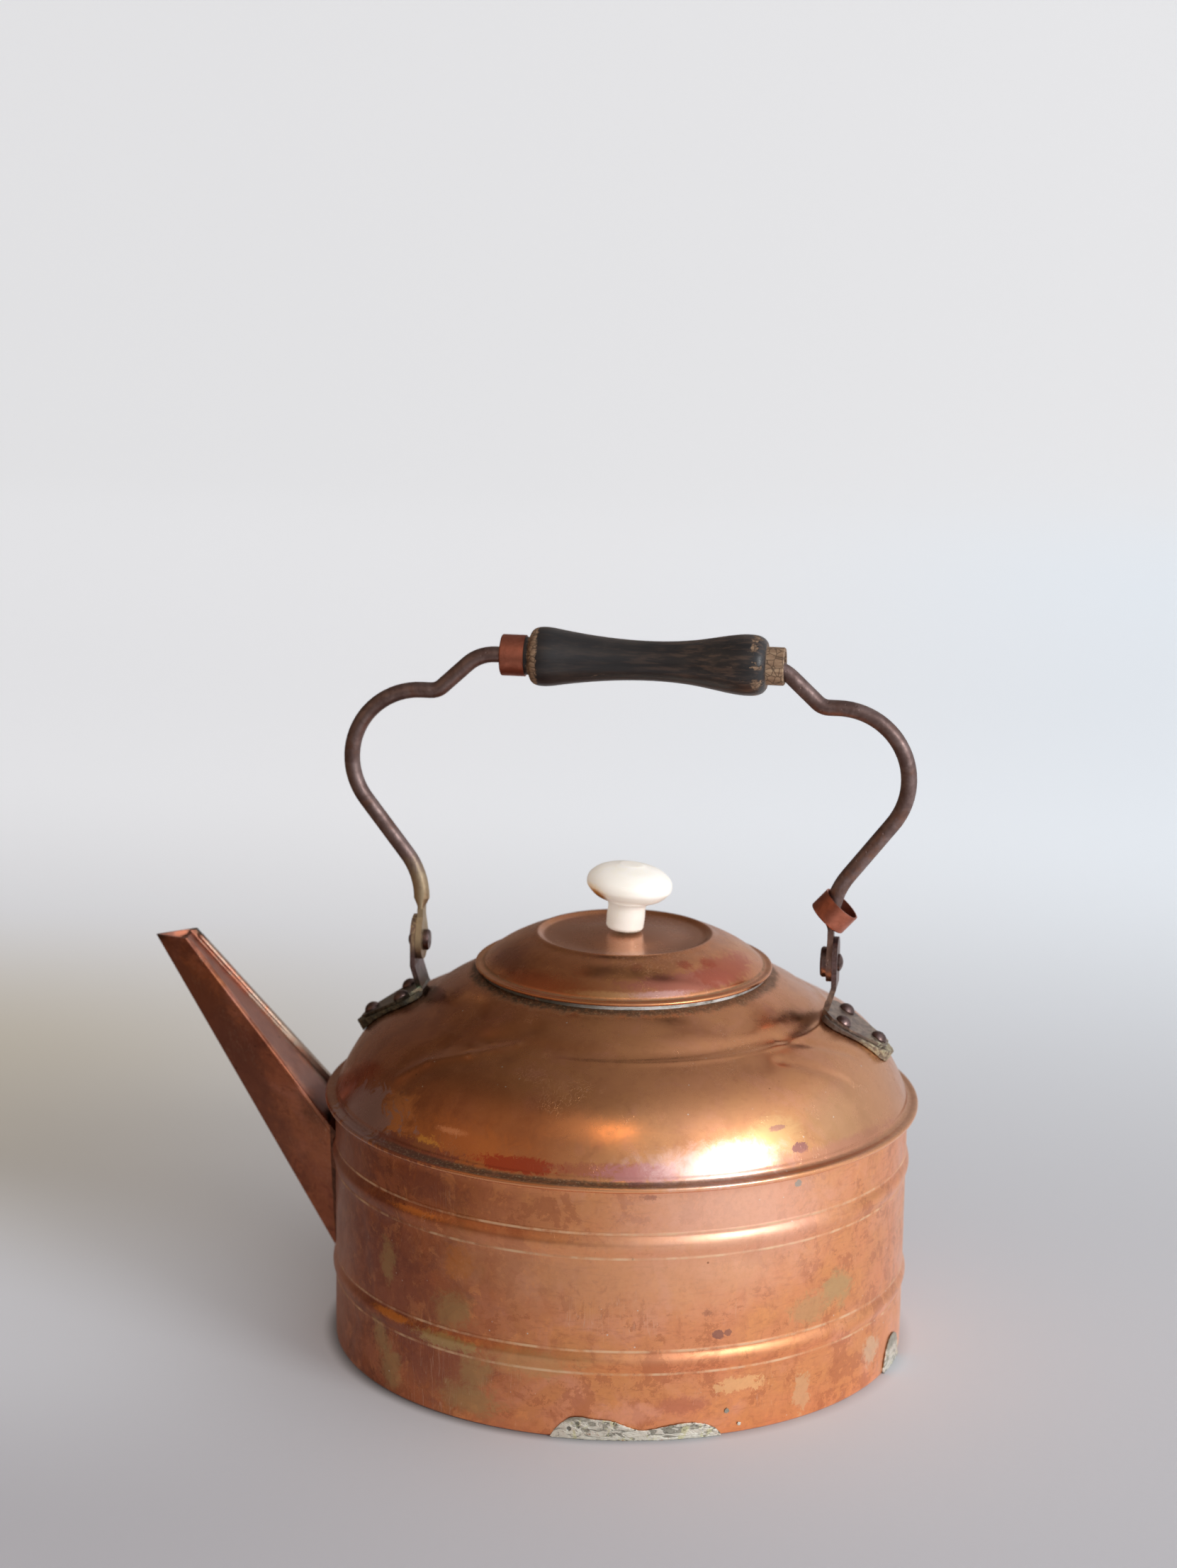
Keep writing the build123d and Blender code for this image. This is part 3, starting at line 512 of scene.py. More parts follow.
# where each knock in the wall starts and ends, mm
WALL_KNOCKS = (
    ((58, -92, 66), (70, -84, 60)), ((40, -101, 57), (44, -100, 52)), ((84, -70, 52), (90, -62, 47)),
    ((-52, -96, 52), (-50, -97, 42)), ((98, -48, 22), (101, -42, 12)), ((-84, -70, 40), (-86, -66, 60)),
)


def wall_wear(places):
    """Soft waves and a few knocks, fading out towards the seam and the foot."""
    move = unevenness(places, 42.0, 0.20, 3.0) + unevenness(places, 14.0, 0.04, 5.0)
    for start, end in WALL_KNOCKS:
        move = move - dent(places, start, end, 4.0, 0.30)
    return move * np.clip((93.0 - places[:, 2]) / 6.0, 0, 1) * np.clip(places[:, 2] / 6.0, 0.2, 1)


def wall_face():
    """Outer face of the wall: rounded foot, two rolled hoops and the flange under the seam."""
    root = WALL_RADIUS + 0.06
    line = [arc((WALL_RADIUS - 1.0, 1.0), 1.0, -90, 0, 5)]
    z = 1.0
    for low, high in WALL_BEADS:
        line.append([(WALL_RADIUS, h) for h in np.linspace(z, low - 0.8, 12)])
        line.append(smooth_line(((WALL_RADIUS, low - 0.8), (root + 0.06, low - 0.1), (root, low + 0.5)), 5))
        turn = np.linspace(0, math.pi, 19)[1:-1]
        line.append([(root + BEAD_OUT * math.sin(t) ** 1.3, low + 0.5 + (high - low - 1.0) * t / math.pi)
                     for t in turn])
        crease = ((root, high - 0.5), (root + 0.06, high + 0.1), (WALL_RADIUS, high + 0.8))
        line.append(smooth_line(crease, 5))
        z = high + 0.9
    line.append([(WALL_RADIUS, h) for h in np.linspace(z, 92.6, 6)])
    line.append(((109.3, 93.4), (110.4, 93.65), (111.8, 93.7)))
    return joined(*line)[::-1]


def strainer_cutter():
    """Short rods where the holes behind the spout are."""
    sides = 20
    rods = []
    for height, count in STRAINER_ROWS:
        for k in range(count):
            y = (k - (count - 1) / 2) * STRAINER_PITCH
            rings = []
            for x in (-WALL_RADIUS - 3, -WALL_RADIUS + 5):
                ring = []
                for s in range(sides):
                    t = 2 * math.pi * s / sides
                    across_y = y + STRAINER_RADIUS * math.cos(t)
                    up_z = height + STRAINER_RADIUS * math.sin(t)
                    ring.append((x * MM, across_y * MM, up_z * MM))
                rings.append(ring)
            rods.append(rings)
    mesh = tube_mesh("strainer_cutter", rods)
    mesh.shade_flat()
    return mesh


def with_strainer(mesh):
    """The wall with its strainer holes cut."""
    blank = put("wall_blank", mesh)
    cutter = put("strainer_cutter", strainer_cutter())
    cut = blank.modifiers.new("strainer", "BOOLEAN")
    cut.object = cutter
    cut.solver = "EXACT"
    graph = bpy.context.evaluated_depsgraph_get()
    result = bpy.data.meshes.new_from_object(blank.evaluated_get(graph), depsgraph=graph)
    for made in (blank, cutter):
        bpy.data.objects.remove(made)
    result.name = "kettle_wall"
    return result


# ---- copper finishes ----
def scratch_lines(f, length, width, share, shift):
    """Thin scattered scratches: stretched noise kept only near its middle value."""
    lines = f.noise(width, 1.0, 0.4, 0.6, (1, 1, length / width), shift)
    gaps = f.fade(f.noise(length, 2.0, shift=shift + 3), 1 - share, 1.05 - share)
    return f.both(f.line(lines, 0.5, 0.0, 0.012), gaps)


def specks(f, spacing, size, share, shift):
    """Tiny round marks, kept at only a share of the scattered points."""
    dots = f.fall(f.cells(spacing, shift=shift), size * 0.6, size)
    where = f.fade(f.noise(spacing * 6, 2.0, shift=shift), 1 - share, 1.08 - share)
    return f.both(dots, where)


def drifts(f, tints, mottle, leftward):
    """The four tints in clouds, darker towards -X if asked, with tide marks and wiped streaks."""
    base, warm, rose, dark = tints
    pale = tuple(min(1.0, 1.15 * w) for w in warm)
    clouds = f.noise(0.034, 4.0, 0.55, 0.5)
    blooms = f.noise(0.034 * 0.7, 6.0, 0.62, 0.8, shift=7)
    spots = f.noise(0.034 * 0.30, 7.0, 0.66, 0.4, shift=13)
    colour = f.blend(base, warm, clouds, 0.36, 0.68)
    colour = f.blend(colour, rose, blooms, 0.48, 0.72, 0.85)
    colour = f.blend(colour, dark, spots, 0.54, 0.78, 0.50)
    if leftward is not None:
        (start, end), tarnished = leftward
        cloud = f.calc("MULTIPLY_ADD", f.noise(0.020, 7.0, 0.66, 0.6, shift=43), 0.050, f.part_of("X"))
        share = f.fade(cloud, start, end, 0.92, 0.0)
        mottled = f.blend(*tarnished, f.noise(0.013, 7.0, 0.7, 0.6, shift=61), 0.40, 0.62)
        colour = f.mix(share, colour, mottled)
    drift = f.noise(0.0085, 8.0, 0.72, 0.5, (1, 1, 1.3), 71.0)
    tide = f.noise(0.017, 10.0, 0.76, 0.25, shift=83.0)
    wiped = f.noise(0.0030, 3.0, 0.6, 0.4, (2.0, 2.0, 0.5), 90.0)
    for share, tint in (
            (f.fade(drift, 0.50, 0.70, 0.0, mottle), dark),
            (f.fade(drift, 0.30, 0.46, mottle, 0.0), pale),
            (f.fade(tide, 0.53, 0.56, 0.0, 0.9 * mottle), dark),
            (f.fade(tide, 0.40, 0.43, 0.7 * mottle, 0.0), pale),
            (f.line(tide, 0.545, 0.0, 0.012, 0.5 * mottle), pale),
            (f.fade(wiped, 0.50, 0.72, 0.0, 0.6 * mottle), dark)):
        colour = f.mix(share, colour, tint)
    return colour


def aged_copper(name, tints, roughness, patches=(), grime=None, leftward=None, mottle=0.25):
    """Satin copper: clouded tints, named patches of stain and painted light, specks, fine scratches and dull
    spots.
    """
    dark = tints[3]
    f = Finish(name)
    colour = f.stain(drifts(f, tints, mottle, leftward), patches)
    fine = f.noise(0.0016, 3.0, 0.6, shift=21)
    colour = f.blend(colour, dark, fine, 0.40, 0.80, 0.20 * mottle)
    dark_specks = specks(f, 0.0070, 0.085, 0.46, 5.0)
    colour = f.mix(f.both(dark_specks, 0.6), colour, tuple(0.35 * d for d in dark))
    pale_specks = specks(f, 0.0062, 0.060, 0.50, 31.0)
    colour = f.mix(f.both(pale_specks, 0.8), colour, (0.86, 0.78, 0.68))
    long_marks = scratch_lines(f, 0.030, 0.0016, 0.40, 2.0)
    marks = f.either(long_marks, scratch_lines(f, 0.016, 0.0012, 0.36, 51.0))
    colour = f.mix(f.both(marks, 0.28), colour, (0.90, 0.66, 0.50))
    rough = f.fade(f.noise(0.012, 4.0, 0.6, shift=17), 0.35, 0.7, roughness - 0.04, roughness + 0.06)
    rough = f.calc("ADD", rough, f.fade(fine, 0.3, 0.8, -0.01, 0.02))
    rough = f.calc("ADD", rough, f.both(dark_specks, 0.2))
    metal = 1.0
    if grime is not None:
        share, soil = grime(f)
        colour = f.mix(share, colour, soil)
        rough = f.calc("ADD", rough, f.both(share, 0.35))
        metal = f.calc("SUBTRACT", 1.0, f.both(share, 0.7))
    normal = f.bump(f.noise(0.0016, 2.0, 0.5, shift=9), 0.000003)
    normal = f.bump(f.noise(0.013, 2.0, 0.4, 0.3, shift=27), 0.00004, normal)
    normal = f.bump(marks, -0.00002, normal)
    return f.done(colour, rough, metal, normal)


# base, warm, rose and dark tint of each copper, and the two tints of its tarnish towards the spout
DOME_TINTS = ((0.66, 0.30, 0.145), (0.70, 0.33, 0.145), (0.72, 0.33, 0.20), (0.46, 0.18, 0.09))
LID_TINTS = ((0.70, 0.30, 0.14), (0.70, 0.32, 0.13), (0.72, 0.30, 0.17), (0.44, 0.165, 0.08))
WALL_TINTS = ((0.84, 0.355, 0.18), (0.82, 0.37, 0.155), (0.87, 0.41, 0.26), (0.55, 0.20, 0.10))
DOME_TARNISH = ((0.44, 0.165, 0.072), (0.34, 0.120, 0.055))
WALL_TARNISH = ((0.42, 0.132, 0.054), (0.25, 0.080, 0.044))
SPOUT_TINTS = ((0.46, 0.16, 0.09), (0.52, 0.20, 0.10), (0.60, 0.26, 0.19), (0.22, 0.075, 0.048))

PURPLE = (0.30, 0.15, 0.125)
PLUM_HAZE = ((0.26, 0.10, 0.085), 0.45, 0.45, 0.9)
OLIVE_WISP = ((0.52, 0.37, 0.17), 0.60, 0.50, 0.8)

# patches of stain, some of them painted light: middle and reach in mm, then tint, share, softness and
# raggedness
DOME_STAINS_AND_LIGHT = (
    ((89.5, -53.6, 106.8), (14, 18, 10), (0.46, 0.30, 0.12), 0.55, 0.8, 0.5),
    ((0, 0, 94.7), (200, 200, 0.8), (0.92, 0.44, 0.22), 0.7, 0.2, 0.0),
    ((67, -79, 108), (10, 10, 6), (0.80, 0.50, 0.22), 0.6, 0.5, 0.6),
    ((-45, -96, 104), (24, 16, 6), (0.78, 0.30, 0.10), 0.5, 0.7, 0.9),
    ((-58, -91, 100.3), (7, 5, 2.4), (0.95, 0.52, 0.13), 0.8, 0.3, 0.9),
    ((-49, -94, 106.6), (6, 5, 1), (1.0, 0.50, 0.28), 0.8, 0.5, 0.8),
    ((-72, -77, 106), (7.5, 9, 7.5), (0.95, 0.40, 0.15), 0.65, 0.5, 0.9),
    ((-88, -62, 101), (21, 27, 9), (0.52, 0.33, 0.31), 0.85, 0.12, 0.95),
    ((-62, -88, 97.5), (22, 18, 3.2), (0.34, 0.13, 0.10), 0.8, 0.2, 0.8),
    ((-22, -105, 99.8), (15, 10, 2.6), (0.52, 0.09, 0.05), 0.85, 0.2, 0.8),
    ((12, -107, 100.2), (22, 10, 2.2), (0.52, 0.17, 0.11), 0.6, 0.3, 0.8),
    ((24, -105, 99.5), (16, 10, 3), (0.66, 0.28, 0.28), 0.7, 0.3, 0.9),
    # a pale pink patch beside the window's highlight: pink oxide tint and painted highlight
    ((50, -96, 100.5), (24, 18, 6), (0.98, 0.66, 0.58), 0.75, 0.7, 0.7),
    # lighter copper on the right of the shoulder: painted light on the side towards the window
    ((99, -34, 110), (20, 30, 18), (0.86, 0.46, 0.26), 0.7, 0.9, 0.3),
    ((4, -100, 113.5), (17, 12, 4.5), (0.95, 0.40, 0.16), 0.6, 0.6, 0.5),
    ((75.5, -75.5, 102.5), (3.5, 3.5, 1.8), (0.36, 0.16, 0.14), 0.9, 0.1, 0.5),
    ((67, -77.5, 110.2), (3.5, 3.5, 0.9), (0.44, 0.20, 0.17), 0.7, 0.2, 0.5),
    ((88, -62, 98.5), (30, 40, 3), (0.60, 0.26, 0.18), 0.5, 0.4, 0.6),
)
LID_STAINS_AND_HIGHLIGHTS = (
    ((30, -36, 150.5), (30, 16, 2.8), (0.62, 0.22, 0.16), 0.85, 0.3, 0.5),
    ((41, -22, 151.5), (12, 20, 3.5), (0.56, 0.15, 0.09), 0.8, 0.3, 0.6),
    ((34.5, -23.5, 154.3), (4.2, 3, 1.6), (0.50, 0.10, 0.05), 0.8, 0.3, 0.5),
    ((26.2, -30, 154.5), (3.2, 3, 1.6), (0.50, 0.11, 0.06), 0.8, 0.3, 0.5),
    ((10, -37.5, 155), (2.2, 4, 1.2), (0.52, 0.16, 0.08), 0.6, 0.4, 0.5),
    # a golden streak low on the front of the lid: painted highlight
    ((0, -52, 148), (13, 6, 1), (1.00, 0.56, 0.26), 0.85, 0.5, 0.6),
    # a pink-white streak to its right: painted highlight
    ((21, -48, 148.1), (12, 8, 0.9), (0.97, 0.56, 0.50), 0.75, 0.5, 0.6),
    ((-26, -42, 149), (20, 14, 2.6), (0.66, 0.20, 0.085), 0.8, 0.6, 0.5),
    ((-40, -24, 152), (12, 16, 5), (0.24, 0.085, 0.05), 0.75, 0.7, 0.4),
    ((0, 0, 158), (40, 40, 6), (0.44, 0.19, 0.10), 0.75, 0.4, 0.3),
)
WALL_STAINS_AND_SHEEN = (
    # a pale pink patch on the wall's upper band, front right: painted sheen of the window
    ((57, -94, 86), (34, 34, 24), (0.97, 0.57, 0.42), 0.75, 0.9, 0.3),
    ((-102, -40, 50), (20, 30, 60), (0.66, 0.33, 0.23), 0.6, 0.7, 0.6),
    ((-56, -94, 86), (16, 12, 6.2), *PLUM_HAZE),
    ((-98, -48, 71), (30, 36, 24), *PLUM_HAZE),
    ((-72.6, -81.3, 45), (30, 24, 21), *PLUM_HAZE),
    ((-52, -95.8, 18), (22, 16, 11), *PLUM_HAZE),
    ((-73.9, -80.2, 51.5), (4, 4, 7), *OLIVE_WISP),
    ((-45.7, -99, 41), (8, 6, 6), *OLIVE_WISP),
    ((-48.8, -97.5, 28.5), (15, 8, 3), (0.58, 0.42, 0.19), 0.85, 0.3, 0.8),
    ((-17.3, -107.6, 27), (17, 6, 5), (0.66, 0.42, 0.20), 0.6, 0.5, 0.7),
    ((-37.2, -102.4, 19.5), (6, 5, 7), *OLIVE_WISP),
    ((-39.2, -101.7, 8.5), (13, 8, 5), *OLIVE_WISP),
    ((-72.6, -81.3, 11), (5, 5, 8), *OLIVE_WISP),
    ((-77.6, -76.6, 21), (4, 4, 6), *OLIVE_WISP),
    ((-61.1, -90.3, 74.5), (12, 10, 1.1), (0.95, 0.36, 0.10), 0.8, 0.5, 0.9),
    ((-71.4, -82.4, 31), (11, 10, 1.4), (0.95, 0.36, 0.08), 0.8, 0.4, 0.6),
    ((-43.7, -99.8, 60), (6, 5, 6), (0.70, 0.26, 0.07), 0.6, 0.4, 0.9),
    ((49.8, -97, 38.3), (2.2, 2.2, 1.7), PURPLE, 0.8, 0.1, 0.5),
    ((53, -95.2, 38.7), (1.5, 1.5, 1.3), PURPLE, 0.7, 0.1, 0.5),
    ((46.1, -98.8, 47.1), (1.4, 1.4, 1.3), *PLUM_HAZE),
    ((89.2, -62.6, 46), (6, 8, 6.5), (0.56, 0.40, 0.20), 0.75, 0.5, 0.8),
    ((79.9, -74.2, 41), (8, 8, 5), (0.62, 0.40, 0.20), 0.6, 0.4, 0.8),
    ((57.8, -92.4, 18.2), (11, 7, 2.8), (1.0, 0.62, 0.30), 0.7, 0.1, 1.0),
    ((78.2, -76, 10), (3.5, 4, 7), (0.82, 0.56, 0.32), 0.6, 0.1, 1.0),
    ((101.1, -40.6, 14), (4, 6, 5), (0.80, 0.66, 0.46), 0.6, 0.3, 1.0),
    ((25.2, -106.1, 91.2), (3, 3, 0.9), *PLUM_HAZE),
    ((75.2, -78.9, 90.5), (1.6, 1.6, 1.3), (0.45, 0.42, 0.36), 0.9, 0.1, 0.5),
    ((37.4, -102.4, 12.6), (10, 8, 3), (0.60, 0.22, 0.13), 0.7, 0.4, 0.8),
    ((19.7, -107.2, 9.5), (10, 8, 4), (0.95, 0.48, 0.34), 0.5, 0.5, 0.8),
    ((20, -107, 62), (60, 30, 12), (0.86, 0.46, 0.26), 0.5, 0.7, 0.6),
)


def dome_grime(f):
    """Dark brown dirt in the cove above the seam, and a dark brown band round the collar under the lid's
    brim.
    """
    height = f.part_of("Z")
    low = f.fall(f.calc("MULTIPLY_ADD", f.noise(0.005, 6.0, 0.7), 0.0016, height), 0.0972, 0.0982)
    off_edge = f.fade(height, 0.0956, 0.0960)
    ragged = f.fade(f.noise(0.0022, 5.0, 0.7), 0.30, 0.55, 0.55, 1.0)
    soil = f.blend((0.060, 0.036, 0.018), (0.25, 0.19, 0.11), f.noise(0.0008, 3.0, shift=2), 0.56, 0.66)
    side = f.both(f.along("X", 0.0, 0.07, 0.85, 0.30), f.along("X", -0.10, -0.05, 0.35, 1.0))
    cove = f.both(low, off_edge, side)
    # a dark brown band on the shoulder round the collar, under the lid's brim
    collar = f.calc("MULTIPLY_ADD", f.noise(0.006, 6.0, 0.7, shift=4), -0.0030, height)
    collar = f.both(f.fade(collar, 0.1395, 0.1410), f.along("X", -0.02, 0.05, 0.95, 0.75))
    return f.both(f.either(cove, collar), ragged), soil


def lid_grime(f):
    """Dark brown dirt in the groove behind the brim."""
    height = f.part_of("Z")
    groove = f.both(f.fall(height, 0.1466, 0.1472), f.fade(height, 0.1461, 0.1464))
    ragged = f.fade(f.noise(0.0025, 5.0, 0.7), 0.30, 0.55, 0.3, 1.0)
    return f.both(groove, ragged, 0.6), (0.14, 0.11, 0.06)


def wall_grime(f):
    """Cream polish dried along the edges of the hoops."""
    height = f.part_of("Z")
    lines = None
    for low, high in WALL_BEADS:
        for edge in (low, high):
            near = f.line(height, edge * MM, 0.0002, 0.0007)
            lines = near if lines is None else f.either(lines, near)
    gaps = f.fade(f.noise(0.010, 5.0, 0.7), 0.40, 0.62, 0.10, 0.75)
    return f.both(lines, gaps), (0.80, 0.58, 0.36)


def dome_copper():
    leftward = ((-0.055, 0.030), DOME_TARNISH)
    return aged_copper("dome_copper", DOME_TINTS, 0.25, DOME_STAINS_AND_LIGHT, dome_grime, leftward, mottle=0.18)


def lid_copper():
    return aged_copper("lid_copper", LID_TINTS, 0.25, LID_STAINS_AND_HIGHLIGHTS, lid_grime, mottle=0.22)


def wall_copper():
    leftward = ((-0.060, 0.030), WALL_TARNISH)
    return aged_copper("wall_copper", WALL_TINTS, 0.33, WALL_STAINS_AND_SHEEN, wall_grime, leftward, mottle=0.6)


def spout_copper():
    """Red-brown spout, tinned grey inside, with painted shade along its middle and in the mouth corner, and
    near-black where it meets the wall.
    """
    low, high = (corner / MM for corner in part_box("spout_side_shell"))
    stains_and_shade = (
        ((-150, -10, 105), (14, 12, 12), (0.17, 0.055, 0.04), 0.6, 0.6, 0.8),
        ((-130, -22, 76), (14, 16, 10), (0.22, 0.08, 0.055), 0.35, 0.5, 0.9),
        ((-118, -26, 45), (10, 16, 16), (0.22, 0.08, 0.055), 0.3, 0.5, 0.9),
        ((-113, -20, 34), (4, 12, 5), (0.42, 0.19, 0.04), 0.8, 0.5, 0.8),
        ((-165, -8, 126), (10, 10, 10), (0.50, 0.17, 0.06), 0.6, 0.6, 0.8),
        # near-black in the mouth corner and at its tip: painted shade inside the spout's mouth
        ((-168, 9.5, high.z), (6, 4, 3.5), (0.02, 0.018, 0.012), 0.95, 0.3, 0.5),
        ((low.x, 0, 146.2), (6, 8, 1.6), (0.03, 0.024, 0.018), 0.9, 0.3, 0.5),
        # near-black where the spout meets the wall
        ((-108, 0, 86), (16, 30, 12), (0.05, 0.03, 0.022), 0.8, 0.5, 0.5),
        # darker brown along the spout's middle, inside it and on its top plate: painted shade
        ((-143, 0, 112), (55, 9.5, 55), (0.24, 0.10, 0.07), 0.75, 0.3, 0.5),
        ((-143, 18, 115), (60, 9, 60), (0.34, 0.29, 0.23), 0.85, 0.3, 0.5),
        ((-165, 11.5, 140), (20, 5.5, 22), (0.34, 0.29, 0.23), 0.85, 0.3, 0.5),
        ((-128, -22, 62), (18, 12, 30), (0.66, 0.27, 0.15), 0.6, 0.8, 0.5),
        # near-black in the mouth corner: painted shade
        ((-166.5, 10.5, high.z), (7, 6, 6), (0.03, 0.028, 0.02), 0.95, 0.3, 0.5),
    )
    return aged_copper("spout_copper", SPOUT_TINTS, 0.33, stains_and_shade, mottle=0.6)


SEAM_TONES = ((0.24, 0.10, 0.06), (0.10, 0.05, 0.035))
RIVET_TONES = ((0.20, 0.135, 0.125), (0.085, 0.055, 0.048))
FERRULE_TONES = ((0.50, 0.18, 0.115), (0.32, 0.11, 0.07))
STEEL_TONES = ((0.5, 0.5, 0.48), (0.3, 0.29, 0.27))


def plain_metal(name, light, dark, roughness, lump=0.004):
    """Worn metal with two tones and a fine uneven skin."""
    f = Finish(name)
    blotch = f.noise(lump, 6.0, 0.65, 0.5)
    colour = f.blend(light, dark, blotch, 0.36, 0.66)
    fine = f.noise(lump * 0.15, 3.0, 0.6, shift=5)
    colour = f.blend(colour, dark, fine, 0.5, 0.75, 0.4)
    rough = f.fade(blotch, 0.3, 0.7, roughness - 0.08, roughness + 0.12)
    normal = f.bump(fine, 0.00005)
    normal = f.bump(blotch, 0.00010, normal)
    return f.done(colour, rough, 1.0, normal)


def grip_paint():
    """Black paint on turned wood, worn off the shoulders, chipped on the right and gone from the tenon."""
    f = Finish("grip_paint")
    low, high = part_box("grip")
    x = f.part_of("X")
    chips = f.noise(0.0034, 8.0, 0.72, 0.4, (2.4, 1, 1), 3.0)
    ring_edge = f.calc("MULTIPLY_ADD", f.noise(0.0030, 6.0, 0.72, 0.5, shift=8), 0.0045, x)
    left_ring = f.both(f.fall(ring_edge, low.x + 0.0138, low.x + 0.0144),
                       f.fade(ring_edge, low.x + 0.0098, low.x + 0.0104))
    right_end = f.fade(x, high.x - 0.0400, high.x - 0.0080)
    right_rim = f.both(f.fade(x, high.x - 0.0128, high.x - 0.0110),
                       f.fade(x, high.x - 0.0100, high.x - 0.0085, 1.0, 0.35))
    rubbed = f.calc("MULTIPLY_ADD", right_rim, 0.11, f.both(right_end, 0.055))
    worn = f.fade(f.calc("ADD", chips, rubbed), 0.655, 0.695, 0.0, 0.85)
    bare = f.either(worn, f.both(left_ring, 0.92))
    bare = f.either(bare, f.fade(x, high.x - 0.0068, high.x - 0.0064))
    grain = f.noise(0.0009, 5.0, 0.6, 0.2, (9, 1, 1), 12.0)
    wood = f.ramp(grain, (
        (0.30, (0.13, 0.075, 0.045)), (0.50, (0.32, 0.205, 0.125)), (0.72, (0.50, 0.36, 0.23))))
    cracks = f.fall(f.cells(0.0024, "DISTANCE_TO_EDGE"), 0.02, 0.09)
    wood = f.mix(f.both(cracks, 0.75), wood, (0.05, 0.03, 0.018))
    paint = f.blend((0.017, 0.0165, 0.0175), (0.034, 0.030, 0.028), f.noise(0.02, 5.0, 0.6), 0.4, 0.7)
    streaks = f.fade(f.noise(0.0014, 6.0, 0.66, 0.2, (10, 1, 1), 30.0), 0.46, 0.66, 0.0, 0.8)
    streaks = f.both(streaks, f.fade(x, low.x + 0.030, high.x - 0.020, 0.25, 1.0))
    paint = f.mix(streaks, paint, (0.095, 0.062, 0.046))
    colour = f.mix(bare, paint, wood)
    rough = f.mix(bare, (0.34,) * 3, (0.72,) * 3)
    normal = f.bump(f.calc("SUBTRACT", grain, f.both(bare, 1.5)), 0.00010)
    return f.done(colour, rough, 0.0, normal)


def knob_glaze():
    """Ivory glaze, browned under the left of the cap and darker round the root of the stem. It also glows
    faintly of its own colour: painted light that brightens it.
    """
    f = Finish("knob_glaze")
    cloud = f.noise(0.009, 4.0, 0.55)
    colour = f.blend((0.97, 0.94, 0.87), (0.93, 0.89, 0.80), cloud, 0.35, 0.7)
    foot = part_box("lid_knob")[0].z / MM
    skin = [v.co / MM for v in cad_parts["lid_knob"].data.vertices]
    rim = max(skin, key=lambda p: math.hypot(p.x, p.y))
    reach = math.hypot(rim.x, rim.y) - 1.2
    x, y, z = -0.80 * reach, -0.60 * reach, rim.z - 1.2
    colour = f.stain(colour, (
        ((x, y, z + 0.8), (7.5, 8.0, 2.6), (0.84, 0.58, 0.28), 0.85, 0.6, 0.25),
        ((x, y, z), (7.5, 8.5, 2.1), (0.42, 0.14, 0.012), 0.97, 0.5, 0.4),
        ((0.8 * x, 0.8 * y, z - 1.2), (6.0, 7.0, 1.4), (0.22, 0.07, 0.010), 0.95, 0.4, 0.3),
        ((0.0, 0.0, foot + 0.4), (9.5, 9.5, 0.9), (0.30, 0.30, 0.20), 0.7, 0.4, 0.4),
    ))
    crazing = f.fall(f.cells(0.0036, "DISTANCE_TO_EDGE", 4.0), 0.004, 0.018)
    colour = f.mix(f.both(crazing, 0.10), colour, (0.55, 0.45, 0.30))
    rough = f.fade(cloud, 0.3, 0.7, 0.14, 0.26)
    # the glaze glows faintly of its own colour: painted light, the knob is no lamp
    f.feed(f.shader.inputs["Emission Color"], colour)
    return f.done(colour, rough, 0.0, f.bump(cloud, 0.00006), **{
        "Coat Weight": 0.35, "Coat Roughness": 0.10, "Subsurface Weight": 0.12,
        "Subsurface Radius": (0.003, 0.0025, 0.002), "Emission Strength": 0.30})


def tinned():
    """Tinned copper: silver with creamy worn streaks, darkened on its left and front by tarnishing and
    painted shade.
    """
    f = Finish("tinned_copper")
    cloud = f.noise(0.0075, 6.0, 0.66, 0.6, (1, 1, 0.5))
    colour = f.ramp(cloud, (
        (0.33, (0.24, 0.21, 0.17)), (0.44, (0.62, 0.60, 0.54)), (0.58, (0.93, 0.92, 0.88)),
        (0.74, (0.80, 0.70, 0.56))))
    # darker on the left and front: tarnishing, and painted shade on the side away from the window
    tarnish_and_shade = f.both(f.along("X", -0.020, 0.012, 0.88, 0.10), f.along("Y", -0.03, 0.0, 1.0, 0.3))
    colour = f.mix(tarnish_and_shade, colour, (0.10, 0.105, 0.085))
    bare = f.fade(f.noise(0.005, 7.0, 0.7, shift=33), 0.62, 0.68, 0.0, 0.7)
    colour = f.mix(bare, colour, (0.72, 0.34, 0.20))
    normal = f.bump(f.noise(0.0016, 4.0, 0.6, shift=5), 0.00006)
    return f.done(colour, f.fade(cloud, 0.35, 0.65, 0.46, 0.34), 0.75, normal)


def rod_iron():
    """Dark brown iron with a worn sheen; the flattened neck on the left is rubbed to a pale tan."""
    f = Finish("rod_iron")
    blotch = f.noise(0.006, 7.0, 0.68, 0.4)
    colour = f.blend((0.24, 0.17, 0.155), (0.14, 0.09, 0.08), blotch, 0.34, 0.66)
    rust = f.fade(f.noise(0.012, 7.0, 0.7, shift=14), 0.52, 0.66, 0.0, 0.6)
    colour = f.mix(rust, colour, (0.22, 0.105, 0.065))
    colour = f.stain(colour, (
        ((-78.2, 0, 163), (10, 12, 16), (0.52, 0.42, 0.26), 0.85, 0.5, 0.5),
        ((-78.2, 0, 150), (10, 12, 8), (0.46, 0.36, 0.22), 0.7, 0.4, 0.6),
        ((78.2, 0, 158), (10, 12, 12), (0.17, 0.10, 0.075), 0.7, 0.5, 0.5),
    ))
    fine = f.noise(0.0012, 4.0, 0.6, shift=5)
    pits = specks(f, 0.0030, 0.16, 0.55, 8.0)
    rough = f.fade(blotch, 0.3, 0.7, 0.36, 0.52)
    normal = f.bump(fine, 0.00006)
    normal = f.bump(f.noise(0.007, 3.0, 0.5, shift=2), 0.00035, normal)
    normal = f.bump(pits, -0.00012, normal)
    return f.done(colour, rough, 0.85, normal)


